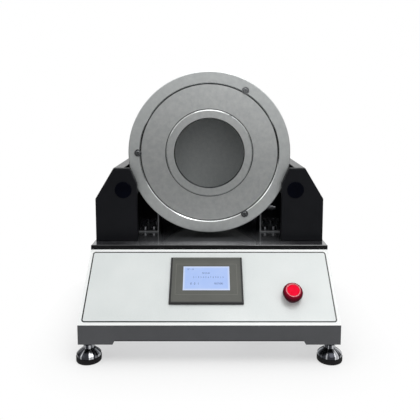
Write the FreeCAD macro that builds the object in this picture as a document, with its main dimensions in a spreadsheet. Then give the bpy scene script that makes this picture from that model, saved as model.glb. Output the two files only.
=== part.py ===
import FreeCAD, Part
import math
import os
import Sketcher

# Carpet tumble drum tester, a bench machine, in millimetres.
# X runs to the viewer's right, -Y to the front and Z up. The origin lies on the table,
# under the middle of the base.

doc = FreeCAD.newDocument("tumble_drum_tester")

# Sizes
# Every row is a name, a value or a formula of earlier names, and what it measures.
SIZES = [
    ("half_width", "256", "half the width of base and deck"),
    ("half_depth", "240", "half the depth of the base"),
    ("sheet", "2", "steel sheet of base and covers"),
    ("skirt_low", "42", "lower edge of the dark skirt"),
    ("skirt_top", "81", "top of the skirt, where the sloping panel starts"),
    ("notch_half", "188.5", "half the length of the raised edge between the feet"),
    ("notch_rise", "7", "how far that edge is raised"),
    ("notch_run", "4", "length of the slope at each end of it"),
    ("lip_low", "skirt_low + notch_rise", "underside of the lip that carries the feet"),
    ("lip_top", "lip_low + sheet", "top of that lip"),
    ("lip_wide", "42", "width of the lip"),
    ("floor_screw_in", "25", "distance of the floor's screws from the base's sides"),
    ("floor_screw_y", "80", "screws of the floor before and behind the middle"),
    ("floor_vent_left", "60", "left end of the cooling slots in the floor"),
    ("floor_vent_long", "80", "length of those slots"),
    ("floor_vent_front", "-190", "front edge of the first slot"),
    ("floor_vent_step", "14", "distance from one slot to the next"),
    ("floor_vent_wide", "6", "width of each slot"),
    ("floor_vent_round", "2.7", "rounding of its corners"),
    ("flange_wide", "14", "width of the flanges between skirt and housing"),
    ("deck_low", "195", "underside of the black deck plate"),
    ("deck_thick", "10", "thickness of the deck plate"),
    ("deck_top", "deck_low + deck_thick", "top of the deck plate"),
    ("deck_bevel", "1.2", "bevel round the top of the deck plate"),
    ("panel_run", "128", "depth that the sloping panel covers"),
    ("panel_rise", "deck_low - skirt_top", "height that it covers"),
    ("panel_long", "sqrt(panel_run * panel_run + panel_rise * panel_rise)", "its length"),
    ("panel_angle", "atan(panel_rise / panel_run) / 1deg", "its slope in degrees"),
    ("panel_top_y", "panel_run - half_depth", "upper edge of the panel"),
    ("panel_mid_y", "panel_run / 2 - half_depth", "middle of the panel, depth"),
    ("panel_mid_z", "skirt_top + panel_rise / 2", "middle of the panel, height"),
    ("slope_inset", "sheet * panel_long / panel_rise", "sheet of the panel, measured level"),
    ("slope_creep", "sheet * panel_run / panel_rise", "run of the slope over one sheet"),
    ("cavity_foot_y", "slope_inset + slope_creep - half_depth", "inside of the panel, foot"),
    ("cavity_top_y", "panel_top_y + slope_inset - slope_creep", "inside of the panel, top"),
    ("cavity_top", "deck_low - sheet", "inside of the housing, top"),
    ("cavity_low", "skirt_top + sheet", "top of the housing's own flange"),
    ("back_face", "half_depth - sheet", "outside of the housing's rear wall"),
    ("fit", "0.3", "gap between pieces that don't touch"),
    ("running_fit", "0.05", "gap round a turning or sliding shaft, on the radius"),
    # drum
    ("drum_z", "400", "height of the drum's axis"),
    ("chamber_r", "152.5", "inner radius of the drum"),
    ("chamber_deep", "205", "inner length of the drum"),
    ("drum_wall", "8", "wall of the drum"),
    ("shell_r", "chamber_r + drum_wall", "outer radius of the drum"),
    ("flange_r", "180", "outer radius of both end flanges"),
    ("flange_thick", "16", "thickness of both end flanges"),
    ("flange_front", "-61", "front face of the front flange"),
    ("flange_back", "flange_front + flange_thick", "rear face of the front flange"),
    ("corner_r", "20", "rounding between the drum's wall and its back"),
    ("lid_sunk", "1.5", "depth of the lid's face below the flange"),
    ("seat_bevel", "3", "bevel round the recess for the lid"),
    ("lid_thick", "6", "thickness of the lid"),
    ("lid_front", "flange_front + lid_sunk", "front face of the lid"),
    ("lid_back", "lid_front + lid_thick", "rear face of the lid"),
    ("seal_thick", "2", "thickness of the lid's seal"),
    ("seal_back", "lid_back + seal_thick", "rear face of the seal"),
    ("seal_in", "1", "how far the seal stays behind the flange's mouth"),
    ("seal_out", "1.5", "how far it stays inside the lid's edge"),
    ("lid_r", "152.5", "radius of the lid"),
    ("lid_bevel", "0.8", "bevel of the lid's edges"),
    ("lid_seat_r", "lid_r + fit", "radius of the recess that takes the lid"),
    ("seat_r", "144", "radius of the mouth behind the lid"),
    ("chamber_back", "seal_back + chamber_deep", "inner face of the drum's back"),
    ("drum_back", "chamber_back + drum_wall", "outer face of the drum's back"),
    ("rear_flange_front", "drum_back - flange_thick", "front face of the rear flange"),
    ("window_r", "77", "radius of the round opening in the lid"),
    ("ring_r", "96.3", "outer radius of the raised ring"),
    ("ring_proud", "4", "how far the ring stands proud of the lid"),
    ("ring_bevel", "2.2", "bevel on the outer edge of the ring"),
    ("ring_inner_bevel", "0.8", "bevel on its inner edge"),
    ("pane_r", "86", "radius of the clear pane behind the ring"),
    ("pane_thick", "4", "thickness of the clear pane"),
    ("rim_bevel", "1.5", "bevel on the rims of both flanges"),
    ("lid_screw_reach", "158.6", "distance of the lid's screws from the axis"),
    ("spot_r", "8.6", "radius of the round sinking for each washer"),
    ("washer_r", "7.9", "radius of the washers that hold the lid"),
    ("washer_thick", "1.6", "thickness of those washers"),
    ("lid_head_r", "5", "radius of the lid screws' heads"),
    ("lid_head_high", "6", "height of those heads"),
    ("lid_shank_r", "3", "radius of the lid screws' thread"),
    ("lid_shank_long", "9", "length of the thread in the flange"),
    ("lid_thread_room", "2", "depth of the thread holes beyond the screws"),
    ("lid_socket_half", "2.5", "half the width over flats of their sockets"),
    ("lid_socket_deep", "3.6", "depth of those sockets"),
    ("lid_screw_bevel", "0.6", "bevel of their heads and ends"),
    # rollers
    ("roller_x", "190", "distance of the roller shafts from the middle"),
    ("roller_drop", "80", "how far the shafts lie below the drum's axis"),
    ("roller_z", "drum_z - roller_drop", "height of the roller shafts"),
    ("roller_reach", "sqrt(roller_x * roller_x + roller_drop * roller_drop)", "shaft to drum"),
    ("roller_r", "roller_reach - flange_r - fit", "radius of the rubber tyres"),
    ("tyre_thick", "6", "thickness of the tyres"),
    ("hub_r", "roller_r - tyre_thick", "radius of the hub under the tyre"),
    ("hub_lip_r", "roller_r + 4.5", "radius of the lip beside the flange"),
    ("hub_lip_wide", "4", "width of that lip"),
    ("hub_lip_bevel", "1", "bevel of that lip, away from the flange"),
    ("hub_over", "1", "how far hubs and tyres reach beyond the flanges"),
    ("tyre_bevel", "1", "bevel of the tyres' edges"),
    ("lip_gap", "0.6", "gap between lip and flange"),
    ("shaft_r", "10", "radius of the shafts"),
    ("journal_r", "8.5", "radius of the shaft ends in the bearings"),
    ("shaft_bevel", "0.8", "bevel at the ends of the shafts"),
    ("shaft_proud", "2", "how far the right shaft stands out of its pulley"),
    ("bearing_r", "17.5", "outer radius of the bearings"),
    ("bearing_wide", "10", "width of the bearings"),
    ("outer_ring", "2.5", "wall of the bearings' outer rings"),
    ("inner_ring", "2", "wall of their inner rings"),
    ("shield_sunk", "0.6", "depth of the shields between the rings"),
    ("cap_r", "18.5", "radius of the round caps over the bearings"),
    ("cap_proud", "1.6", "thickness of the caps' rim"),
    ("cap_round", "1.1", "rounding of that rim"),
    ("cap_deep", "3", "depth of the caps' spigot"),
    # towers
    ("tower_front", "-79", "front face of the front tower plates"),
    ("tower_thick", "15", "thickness of the tower plates"),
    ("tower_bevel", "1.5", "bevel round the front of the tower plates"),
    ("tower_back", "tower_front + tower_thick", "rear face of the front plates"),
    ("rear_plate_front", "drum_back + 3", "front face of the rear bearing plate"),
    ("rear_plate_back", "rear_plate_front + tower_thick", "rear face of that plate"),
    ("tower_foot_out", "252", "outer edge of the towers at the deck"),
    ("tower_foot_in", "159.5", "inner edge of the towers at the deck"),
    ("tower_knee_z", "300", "height where the outer edge starts to lean"),
    ("tower_top_z", "368", "top of the towers"),
    ("tower_top_out", "211", "outer end of the flat top"),
    ("tower_top_in", "175.5", "inner end of the flat top"),
    ("tower_neck_in", "160.5", "inner edge where the upper slope starts"),
    ("tower_neck_z", "334", "height of that point"),
    ("web_top_z", "300", "top of the rear plate between the towers"),
    ("strip_in", "190", "inner edge of the covers' top strip"),
    # levelling feet
    ("foot_inset", "16", "distance of the foot studs from the base's sides"),
    ("foot_setback", "22", "distance of the foot studs from front and back"),
    ("foot_x", "half_width - foot_inset", "studs left and right of the middle"),
    ("foot_y", "half_depth - foot_setback", "studs before and behind the middle"),
    ("sole_r", "25", "radius of the rubber soles"),
    ("sole_high", "11", "height of the soles"),
    ("sole_round", "3", "rounding of the soles' lower edge"),
    ("bell_r", "24", "radius of the bell at its foot"),
    ("bell_edge", "5.5", "height of the bell's upright edge"),
    ("bell_high", "16", "height of the bell"),
    ("bell_neck_r", "9.5", "radius of the bell at its top"),
    ("bell_round", "34", "radius of the bell's slightly domed flank"),
    ("bell_sunk", "2", "how far the bell is let into the sole"),
    ("stud_r", "6", "radius of the stud"),
    ("nut_high", "7", "height of the hexagon on the stud"),
    ("nut_half", "9.5", "half the width over flats of nuts and hexagons"),
    ("foot_top", "72", "upper end of the stud inside the base"),
    ("stud_bevel", "1", "bevel at the upper end of the stud"),
    ("stud_hole_r", "9", "radius of the holes in the floor over the studs"),
    ("lock_high", "8", "height of the lock nuts under the lip"),
    # deck and towers, holes and bolts
    ("bolt_r", "4", "radius of the M8 bolts"),
    ("bolt_head_r", "6.5", "radius of their heads"),
    ("bolt_head_high", "8", "height of their heads"),
    ("bolt_deep", "20", "length of the bolts in the tower plates"),
    ("socket_half", "3", "half the width over flats of the bolts' sockets"),
    ("screw_r", "2", "radius of the M4 screws"),
    ("screw_head_r", "3.8", "radius of their round heads"),
    ("screw_head_high", "2.2", "height of those heads"),
    ("tower_bolt_in", "172", "inner bolt of each tower"),
    ("tower_bolt_out", "236", "outer bolt of each tower"),
    ("tower_bolt_y", "tower_front + tower_thick / 2", "bolts of the front plates, depth"),
    ("rear_bolt_y", "rear_plate_front + tower_thick / 2", "bolts of the rear plate, depth"),
    ("rear_bolt_mid", "60", "middle bolts of the rear plate, left and right"),
    ("lean_run", "tower_foot_out - tower_top_out", "width of the towers' outer slope"),
    ("lean_rise", "tower_top_z - tower_knee_z", "height of that slope"),
    ("lean_long", "sqrt(lean_run * lean_run + lean_rise * lean_rise)", "its length"),
    ("knee_in_z", "tower_knee_z - sheet * (lean_long - lean_rise) / lean_run", "fold inside"),
    ("top_in_x", "tower_top_out - sheet * (lean_long - lean_run) / lean_rise", "fold inside"),
    ("cover_foot_in", "234", "inner edge of the covers' foot flange"),
    ("cover_screw_x", "242", "screws in that flange"),
    ("cover_screw_front", "0", "front screw in that flange"),
    ("cover_screw_back", "100", "rear screw in that flange"),
    # angle brackets and sensor
    ("angle_in", "120", "inner face of the angle brackets"),
    ("angle_out", "168", "outer end of their feet"),
    ("angle_thick", "3", "thickness of the angle brackets"),
    ("angle_front", "2", "front end of the angle brackets"),
    ("angle_back", "96", "rear end of the angle brackets"),
    ("angle_top", "272", "top of the angle brackets"),
    ("angle_bend", "3", "radius inside their bend"),
    ("angle_round", "9", "rounding of the angle brackets' upper corners"),
    ("angle_bolt_in", "134", "inner bolts of the angle brackets"),
    ("angle_bolt_out", "155", "outer bolts of the angle brackets"),
    ("angle_bolt_front", "16", "front bolts of the angle brackets"),
    ("angle_bolt_back", "82", "rear bolts of the angle brackets"),
    ("sensor_y", "16", "depth of the speed sensor"),
    ("sensor_z", "261", "height of the speed sensor"),
    ("sensor_r", "6", "radius of the sensor's barrel"),
    ("sensor_tip", "95", "face of the sensor, near the drum"),
    ("sensor_end", "152", "outer end of the sensor"),
    ("sensor_tail", "6", "length of the cable outlet behind the sensor"),
    ("sensor_tail_r", "4", "radius of that outlet"),
    ("sensor_cap", "4", "length of the cap at the sensor's face"),
    ("sensor_cap_step", "0.6", "how much thinner that cap is, on the radius"),
    ("sensor_nut_half", "8.5", "half the width over flats of the sensor's nuts"),
    ("sensor_nut_wide", "4", "thickness of the sensor's nuts"),
    ("target_r", "5", "radius of the stud on the drum that the sensor counts"),
    ("target_high", "2.5", "height of that stud"),
    ("target_foot", "2", "how far it is let into the drum's wall"),
    # drive
    ("motor_z", "124", "height of the gear motor's axis"),
    ("pulley_r", "24", "radius of both pulleys under the belt"),
    ("pulley_rim_r", "29", "radius of the pulleys' rims"),
    ("belt_wide", "10", "width of the belt"),
    ("belt_thick", "3", "thickness of the belt"),
    ("rim_wide", "2.5", "width of each rim"),
    ("belt_y", "rear_plate_back + 15", "middle of the belt"),
    ("pulley_half", "belt_wide / 2 + fit + rim_wide", "half the width of a pulley"),
    ("pulley_front", "belt_y - pulley_half", "front face of the pulleys"),
    ("pulley_back", "belt_y + pulley_half", "rear face of the pulleys"),
    ("motor_face", "rear_plate_back + 1", "face of the gear motor, against its bracket"),
    ("bracket_thick", "5", "thickness of the motor bracket"),
    ("gear_half", "43", "half the width of the square gear box"),
    ("gear_long", "56", "length of the gear box"),
    ("gear_round", "6", "rounding of the gear box's long edges"),
    ("motor_r", "38", "radius of the motor behind the gear box"),
    ("motor_long", "110", "length of the motor"),
    ("rib_deep", "4", "depth of the motor's ribs"),
    ("rib_wide", "4", "width of each rib"),
    ("rib_step", "9", "distance from one rib to the next"),
    ("rib_first", "8", "first rib behind the gear box"),
    ("terminal_half", "24", "half the width of the motor's terminal box"),
    ("terminal_start", "18", "front of the terminal box behind the gear box"),
    ("terminal_long", "60", "length of the terminal box"),
    ("terminal_high", "20", "height of the terminal box"),
    ("terminal_sunk", "6", "how far the terminal box is let into the motor"),
    ("boss_r", "17", "radius of the boss round the gear box's shaft"),
    ("output_r", "7.5", "radius of the gear box's shaft"),
    ("output_proud", "3", "how far that shaft stands out of its pulley"),
    ("output_room", "1", "room behind the inner end of that shaft"),
    ("bracket_half", "48", "half the width of the motor bracket"),
    ("bracket_bolt_x", "38", "bolts of the motor bracket, left and right of its middle"),
    ("bracket_bolt_y", "30", "bolts of the motor bracket, in front of its face"),
    ("bracket_foot", "52", "depth of the bracket's foot under the deck"),
    ("bracket_below", "4", "how far the bracket reaches below the gear box"),
    ("bracket_slot_in", "8", "distance of its slots from the gear box's edges"),
    ("bracket_slot_r", "3", "radius of the slots' round ends"),
    ("bracket_slot_half", "3", "half the distance between the centres of those ends"),
    ("bracket_head_room", "1", "room round the bolt heads that it clears"),
    ("guard_half", "42", "half the width of the belt guard"),
    ("guard_top", "362", "top of the belt guard"),
    ("guard_round", "30", "rounding of the guard's upper corners"),
    ("guard_back", "rear_plate_back + 32", "rear face of the belt guard"),
    ("guard_vent_half", "24", "half the length of the slots in the belt guard"),
    ("guard_vent_low", "236", "lower edge of the lowest slot"),
    ("guard_vent_step", "12", "distance from one slot to the next"),
    ("guard_vent_wide", "4", "height of each slot"),
    ("guard_vent_round", "1.8", "rounding of its corners"),
    ("slot_room", "1.5", "room before and behind the pulley in the deck's slot"),
    ("slot_half", "36", "half the width of the belt's slot in the deck"),
    ("slot_front", "pulley_front - slot_room", "front edge of that slot"),
    ("slot_back", "pulley_back + slot_room", "rear edge of that slot"),
    # control panel
    ("overlay_margin", "6", "bare metal round the panel's foil"),
    ("overlay_thick", "0.6", "thickness of the panel's foil"),
    ("overlay_round", "6", "rounding of the foil's corners"),
    ("overlay_half_long", "panel_long / 2 - overlay_margin", "half the foil's length up the slope"),
    ("hmi_x", "-6", "middle of the touch panel, across"),
    ("hmi_up", "10", "middle of the touch panel, up the slope"),
    ("hmi_half_wide", "75", "half the width of the touch panel's bezel"),
    ("hmi_half_high", "53", "half the height of the bezel"),
    ("hmi_round", "1.5", "rounding of the bezel's corners"),
    ("hmi_proud", "5", "how far the bezel stands proud"),
    ("hmi_edge", "1.2", "rounding along the bezel's front"),
    ("hmi_rim", "6", "width of the bezel's rim round its sunk face"),
    ("hmi_face_sunk", "0.6", "depth of that sunk face"),
    ("hmi_case_wide", "68", "half the width of the case behind the panel"),
    ("hmi_case_high", "46", "half the height of that case"),
    ("hmi_case_deep", "34", "depth of that case"),
    ("hmi_case_round", "3", "rounding of that case's corners"),
    ("hmi_socket_down", "20", "connector block below the case's middle"),
    ("hmi_socket_half", "42", "half the length of the connector block"),
    ("hmi_socket_high", "8", "half the height of the connector block"),
    ("hmi_socket_deep", "7", "how far the connector block stands out"),
    ("hmi_rib_first", "-58", "left side of the first rib on the case"),
    ("hmi_rib_step", "14", "distance from one rib to the next"),
    ("hmi_rib_wide", "2", "width of each rib"),
    ("hmi_rib_low", "16", "lower end of the ribs"),
    ("hmi_rib_high", "40", "upper end of the ribs"),
    ("hmi_rib_deep", "3", "height of the ribs"),
    ("screen_half_wide", "48", "half the width of the screen"),
    ("screen_half_high", "27.5", "half the height of the screen"),
    ("screen_up", "14", "middle of the screen, up the slope"),
    ("screen_thick", "1.2", "thickness of the screen's glass"),
    ("screen_sunk", "1.5", "depth of the screen's seat below the sunk face"),
    ("screen_gap", "0.1", "gap round the screen in its seat"),
    # emergency stop
    ("stop_x", "167", "middle of the emergency stop, across"),
    ("stop_up", "-24", "middle of the emergency stop, up the slope"),
    ("stop_y", "panel_mid_y + stop_up * panel_run / panel_long", "its depth"),
    ("stop_z", "panel_mid_z + stop_up * panel_rise / panel_long", "its height"),
    ("stop_thread_r", "11", "radius of the thread through the panel"),
    ("stop_thread_low", "22", "length of that thread below the panel"),
    ("stop_collar_r", "15", "radius of the collar"),
    ("stop_collar_top", "8", "top of the collar above the panel"),
    ("stop_collar_bevel", "2", "bevel round the top of the collar"),
    ("stop_stem_r", "6.5", "radius of the stem"),
    ("stop_stem_low", "16", "lower end of the stem below the panel"),
    ("stop_stem_top", "18", "upper end of the stem inside the head"),
    ("stop_head_r", "20", "radius of the mushroom head"),
    ("stop_head_low", "13", "underside of the head above the panel"),
    ("stop_foot_bevel", "1", "bevel round the underside of the head"),
    ("stop_side_top", "17", "upper end of the head's upright side"),
    ("stop_flank_r", "12", "radius of the rounded flank above it"),
    ("stop_ridge_r", "15", "outer radius of the ridge on top of the head"),
    ("stop_ridge_wide", "2.8", "width of that ridge"),
    ("stop_ridge_round", "1.7", "radius of its rounded crest"),
    ("stop_ridge_low", "25.2", "foot of the ridge above the panel"),
    ("stop_dish_r", "10.5", "radius of the flat dish inside the ridge"),
    ("stop_dish_high", "24.2", "height of that dish above the panel"),
    ("stop_nut_r", "15", "radius of the nut under the panel"),
    ("stop_nut_high", "5", "height of that nut"),
    ("stop_block_half", "15", "half the width of the contact block"),
    ("stop_block_over", "4", "how much the block is longer than wide, to each side"),
    ("stop_block_deep", "26", "depth of the contact block"),
    ("stop_step_high", "8", "height of the steps for the contact block's terminals"),
    ("stop_step_half", "5", "half the depth of those steps' cuts"),
    # rear
    ("rear_half", "214", "half the width of the rear cover"),
    ("rear_low", "90", "lower edge of the rear cover"),
    ("rear_high", "187", "upper edge of the rear cover"),
    ("rear_open_rim", "14", "width of the wall that the rear cover rests on"),
    ("rear_screw_in", "7", "distance of its screws from its edges"),
    ("rear_vent_long", "66", "length of the slots in the rear cover"),
    ("rear_vent_side", "80", "distance between its two columns of slots"),
    ("rear_vent_low", "106", "lower edge of the lowest slots"),
    ("rear_vent_step", "11", "distance from one slot to the next"),
    ("rear_vent_wide", "5", "height of each slot"),
    ("rear_vent_round", "2.3", "rounding of its corners"),
    ("inlet_x", "-160", "middle of the power inlet"),
    ("inlet_z", "138", "height of the power inlet"),
    ("inlet_half_wide", "15", "half the width of the inlet's flange"),
    ("inlet_half_high", "31", "half the height of the inlet's flange"),
    ("inlet_case_wide", "13.5", "half the width of the inlet's case"),
    ("inlet_case_high", "27", "half the height of the inlet's case"),
    ("inlet_deep", "30", "depth of the inlet's case"),
    ("inlet_proud", "2", "thickness of the inlet's flange"),
    ("inlet_round", "3", "rounding of the flange's corners"),
    ("inlet_wall", "6", "inner wall behind the mouth"),
    ("mouth_half", "12", "half the width of the mouth"),
    ("mouth_low", "-24", "lower edge of the mouth below the inlet's middle"),
    ("mouth_high", "-5", "upper edge of the mouth"),
    ("mouth_slope", "5", "slope of the mouth's upper corners"),
    ("rocker_up", "15", "rocker's middle above the inlet's"),
    ("rocker_half_wide", "7", "half the width of the rocker"),
    ("rocker_half_high", "9", "half the height of the rocker"),
    ("rocker_gap", "1.4", "gap over and under the rocker"),
    ("rocker_seat", "12", "depth of the rocker's seat"),
    ("rocker_back", "-5", "inner side of the rocker, from its axis"),
    ("rocker_back_half", "6", "half the rocker's height there"),
    ("rocker_in_low", "2", "inner edge of the pressed end"),
    ("rocker_out_low", "3.4", "outer edge of the pressed end"),
    ("rocker_out_mid", "4", "outer side at the axis"),
    ("rocker_out_high", "5.6", "outer edge of the raised end"),
    ("rocker_in_high", "1", "inner edge of the raised end"),
    ("rocker_axis_deep", "3", "depth of the rocker's axis below the flange"),
    ("rocker_y", "half_depth - rocker_axis_deep", "depth of the rocker's axis"),
    ("rocker_pin_r", "1.5", "radius of the rocker's pivot pins"),
    ("rocker_pin_long", "1.5", "length of each pivot pin"),
    ("pin_half", "1", "half the thickness of the inlet's pins"),
    ("pin_tall", "2.5", "half the height of the pins"),
    ("pin_side", "7", "outer pins left and right of the middle"),
    ("pin_low", "-18", "height of the outer pins"),
    ("pin_high", "-13", "height of the middle pin"),
    ("pin_sunk", "6", "how far the pins end below the flange"),
    ("supply_left", "-215", "left side of the power supply"),
    ("supply_wide", "110", "width of the power supply"),
    ("supply_front", "-90", "front of the power supply"),
    ("supply_long", "160", "length of the power supply"),
    ("supply_high", "40", "height of the power supply"),
    ("supply_step", "16", "depth of the power supply's terminal step"),
    ("supply_slot_front", "34", "front edge of its first slot"),
    ("supply_slot_step", "13", "distance from one slot to the next"),
    ("supply_slot_wide", "5", "width of each slot"),
    ("supply_slot_in", "16", "distance of the slots' ends from its sides"),
    ("supply_slot_deep", "3", "depth of the slots"),
    ("post_first", "8", "left side of the first terminal"),
    ("post_step", "14", "distance from one terminal to the next"),
    ("post_wide", "10", "width of each terminal"),
    ("post_front", "3", "front of the terminals"),
    ("post_long", "10", "depth of the terminals"),
    ("post_high", "8", "height of the terminals"),
    ("drive_left", "-70", "left side of the motor drive"),
    ("drive_wide", "86", "width of the motor drive"),
    ("drive_front", "60", "front of the motor drive"),
    ("drive_long", "120", "length of the motor drive"),
    ("drive_high", "100", "height of the motor drive"),
    ("fin_long", "22", "reach of the motor drive's cooling fins"),
    ("fin_first", "6", "front of the first fin"),
    ("fin_step", "14", "distance from one fin to the next"),
    ("fin_wide", "3", "thickness of each fin"),
    ("fin_below", "8", "top of the fins below the drive's top"),
    ("drive_mouth_in", "4", "wall on both sides of its terminal recess"),
    ("drive_mouth_low", "6", "lower edge of that recess"),
    ("drive_mouth_high", "26", "upper edge of that recess"),
    ("drive_mouth_deep", "14", "depth of that recess"),
    ("floor_z", "lip_top + sheet", "top of the base's floor"),
    ("lid_screw_side", "lid_screw_reach / 2", "outer screws beside the axis"),
    ("lid_screw_up", "lid_screw_reach * sin(60deg)", "outer screws above and below the axis"),
]

sheet = doc.addObject("Spreadsheet::Sheet", "Sizes")
NAMES = {name for name, value, meaning in SIZES}


def is_name(word):
    """Whether a word of a formula is the name of a size."""
    return word in NAMES


def words_of(formula):
    """A formula cut into names, numbers and signs."""
    words = []
    word = ""
    for letter in formula:
        if letter.isalnum() or letter in "_.":
            word += letter
            continue
        words.append(word)
        words.append(letter)
        word = ""
    words.append(word)
    return [w for w in words if w]


def linked(formula):
    """The formula with every size named by its cell in the sheet."""
    return "".join("Sizes." + w if is_name(w) else w for w in words_of(formula))


def fill_sheet():
    """Write every size into its own cell, with its name and meaning beside it."""
    for row, (name, value, meaning) in enumerate(SIZES, start=1):
        plain = value.replace(".", "").replace("-", "").isdigit()
        sheet.set(f"A{row}", name)
        sheet.set(f"B{row}", value if plain else "=" + value)
        sheet.setAlias(f"B{row}", name)
        sheet.set(f"C{row}", meaning)
    doc.recompute()


def size(name):
    """The value of one size as a plain number."""
    value = sheet.get(name)
    return float(getattr(value, "Value", value))


def number(formula):
    """The value of a formula of names and numbers with + - * / and brackets."""
    words = [w for w in words_of(formula) if w != " "]

    def value():
        word = words.pop(0)
        if word == "-":
            return -value()
        if word == "(":
            inner = total()
            words.pop(0)
            return inner
        return size(word) if is_name(word) else float(word)

    def product():
        result = value()
        while words and words[0] in "*/":
            if words.pop(0) == "*":
                result *= value()
            else:
                result /= value()
        return result

    def total():
        result = product()
        while words and words[0] in "+-":
            if words.pop(0) == "+":
                result += product()
            else:
                result -= product()
        return result

    return total()


# Drawing helpers
# The planes of a body, with the sign that its normal has along its axis.
PLANES = {"XY": ("XY_Plane", 1), "XZ": ("XZ_Plane", -1), "YZ": ("YZ_Plane", 1)}


def new_body(name, x="0", y="0", z="0", tilt=None):
    """An empty body whose own origin lies at x, y, z, tilted about X if an angle is given."""
    body = doc.addObject("PartDesign::Body", name)
    body.Label = name
    body.AllowCompound = True
    if tilt:
        about_x = FreeCAD.Rotation(FreeCAD.Vector(1, 0, 0), 30)
        body.Placement = FreeCAD.Placement(FreeCAD.Vector(), about_x)
        body.setExpression("Placement.Rotation.Angle", linked(tilt))
    for letter, formula in zip("xyz", (x, y, z)):
        if formula != "0":
            body.setExpression(f"Placement.Base.{letter}", linked(formula))
    return body


def plane_of(body, role):
    """One of the three origin planes of a body."""
    for feature in body.Origin.OriginFeatures:
        if feature.Role == role:
            return feature
    raise ValueError(role)


def new_sketch(body, plane, at="0"):
    """An empty sketch on one of a body's planes, moved along that plane's axis."""
    drawing = body.newObject("Sketcher::SketchObject", "Sketch")
    if plane == "PANEL":
        drawing.AttachmentSupport = (plane_of(body, "XY_Plane"), [""])
        drawing.MapMode = "FlatFace"
        slope = FreeCAD.Rotation(FreeCAD.Vector(1, 0, 0), 30)
        drawing.AttachmentOffset = FreeCAD.Placement(FreeCAD.Vector(), slope)
        depth = f"panel_mid_y - ({at}) * panel_rise / panel_long"
        height = f"panel_mid_z + ({at}) * panel_run / panel_long"
        drawing.setExpression("AttachmentOffset.Rotation.Angle", linked("panel_angle"))
        drawing.setExpression("AttachmentOffset.Base.y", linked(depth))
        drawing.setExpression("AttachmentOffset.Base.z", linked(height))
        return drawing
    role, sign = PLANES[plane]
    drawing.AttachmentSupport = (plane_of(body, role), [""])
    drawing.MapMode = "FlatFace"
    if at != "0":
        offset = at if sign > 0 else f"-({at})"
        drawing.setExpression("AttachmentOffset.Base.z", linked(offset))
    return drawing


def pin_point(drawing, shape, point, across, up):
    """Tie one point of a sketch to its two coordinates."""
    for kind, formula, other_axis in (("DistanceX", across, -2), ("DistanceY", up, -1)):
        value = number(formula)
        if abs(value) < 1e-9:
            drawing.addConstraint(
                Sketcher.Constraint("PointOnObject", shape, point, other_axis)
            )
            continue
        row = drawing.addConstraint(
            Sketcher.Constraint(kind, -1, 1, shape, point, value)
        )
        drawing.setExpression(f"Constraints[{row}]", linked(formula))


def arc_between(start, end, radius, side):
    """The short arc between two points, its centre to the left for side 1, right for -1."""
    chord = end - start
    half = chord.Length / 2
    rise = math.sqrt(max(radius * radius - half * half, 0))
    left = FreeCAD.Vector(-chord.y, chord.x, 0).normalize()
    centre = (start + end) / 2 + left * rise * side
    low, high = (start, end) if side > 0 else (end, start)
    first = math.atan2(low.y - centre.y, low.x - centre.x)
    last = math.atan2(high.y - centre.y, high.x - centre.x)
    whole = Part.Circle(centre, FreeCAD.Vector(0, 0, 1), radius)
    return Part.ArcOfCircle(whole, first, last if last > first else last + 2 * math.pi)


def outline(drawing, points):
    """A closed run of lines through points given as pairs of formulas.

    A point with a radius and a side after its pair starts an arc instead of a line.
    """
    places = [FreeCAD.Vector(number(p[0]), number(p[1]), 0) for p in points]
    first = drawing.GeometryCount
    count = len(places)
    starts = []
    for i, point in enumerate(points):
        after = places[(i + 1) % count]
        if len(point) == 2:
            drawing.addGeometry(Part.LineSegment(places[i], after))
            starts.append(1)
            continue
        radius, side = point[2:]
        drawing.addGeometry(arc_between(places[i], after, number(radius), side))
        starts.append(1 if side > 0 else 2)
    for i in range(count):
        after = (i + 1) % count
        drawing.addConstraint(
            Sketcher.Constraint(
                "Coincident", first + i, 3 - starts[i], first + after, starts[after]
            )
        )
    for i, point in enumerate(points):
        pin_point(drawing, first + i, starts[i], point[0], point[1])
        if len(point) > 2:
            tie = drawing.addConstraint(
                Sketcher.Constraint("Radius", first + i, number(point[2]))
            )
            drawing.setExpression(f"Constraints[{tie}]", linked(point[2]))
    return drawing


def upright_slot(drawing, across, low, high, radius):
    """A slot with round ends, its two centres one above the other."""
    x, y0, y1, r = (number(f) for f in (across, low, high, radius))
    first = drawing.GeometryCount
    for y, start in ((y1, 0), (y0, math.pi)):
        whole = Part.Circle(FreeCAD.Vector(x, y, 0), FreeCAD.Vector(0, 0, 1), r)
        drawing.addGeometry(Part.ArcOfCircle(whole, start, start + math.pi))
    for side, ends in ((-1, (y1, y0)), (1, (y0, y1))):
        drawing.addGeometry(
            Part.LineSegment(
                FreeCAD.Vector(x + side * r, ends[0], 0),
                FreeCAD.Vector(x + side * r, ends[1], 0),
            )
        )
    top, bottom, left, right = range(first, first + 4)
    for here, after in ((top, left), (left, bottom), (bottom, right), (right, top)):
        drawing.addConstraint(Sketcher.Constraint("Tangent", here, 2, after, 1))
    drawing.addConstraint(Sketcher.Constraint("Equal", top, bottom))
    pin_point(drawing, top, 3, across, high)
    row = drawing.addConstraint(Sketcher.Constraint("DistanceY", -1, 1, bottom, 3, y0))
    drawing.setExpression(f"Constraints[{row}]", linked(low))
    drawing.addConstraint(Sketcher.Constraint("Vertical", left))
    tie = drawing.addConstraint(Sketcher.Constraint("Radius", top, r))
    drawing.setExpression(f"Constraints[{tie}]", linked(radius))
    return drawing


def box_outline(drawing, left, right, low, high):
    """A rectangle between four coordinates."""
    return outline(drawing, [(left, low), (right, low), (right, high), (left, high)])


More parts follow.
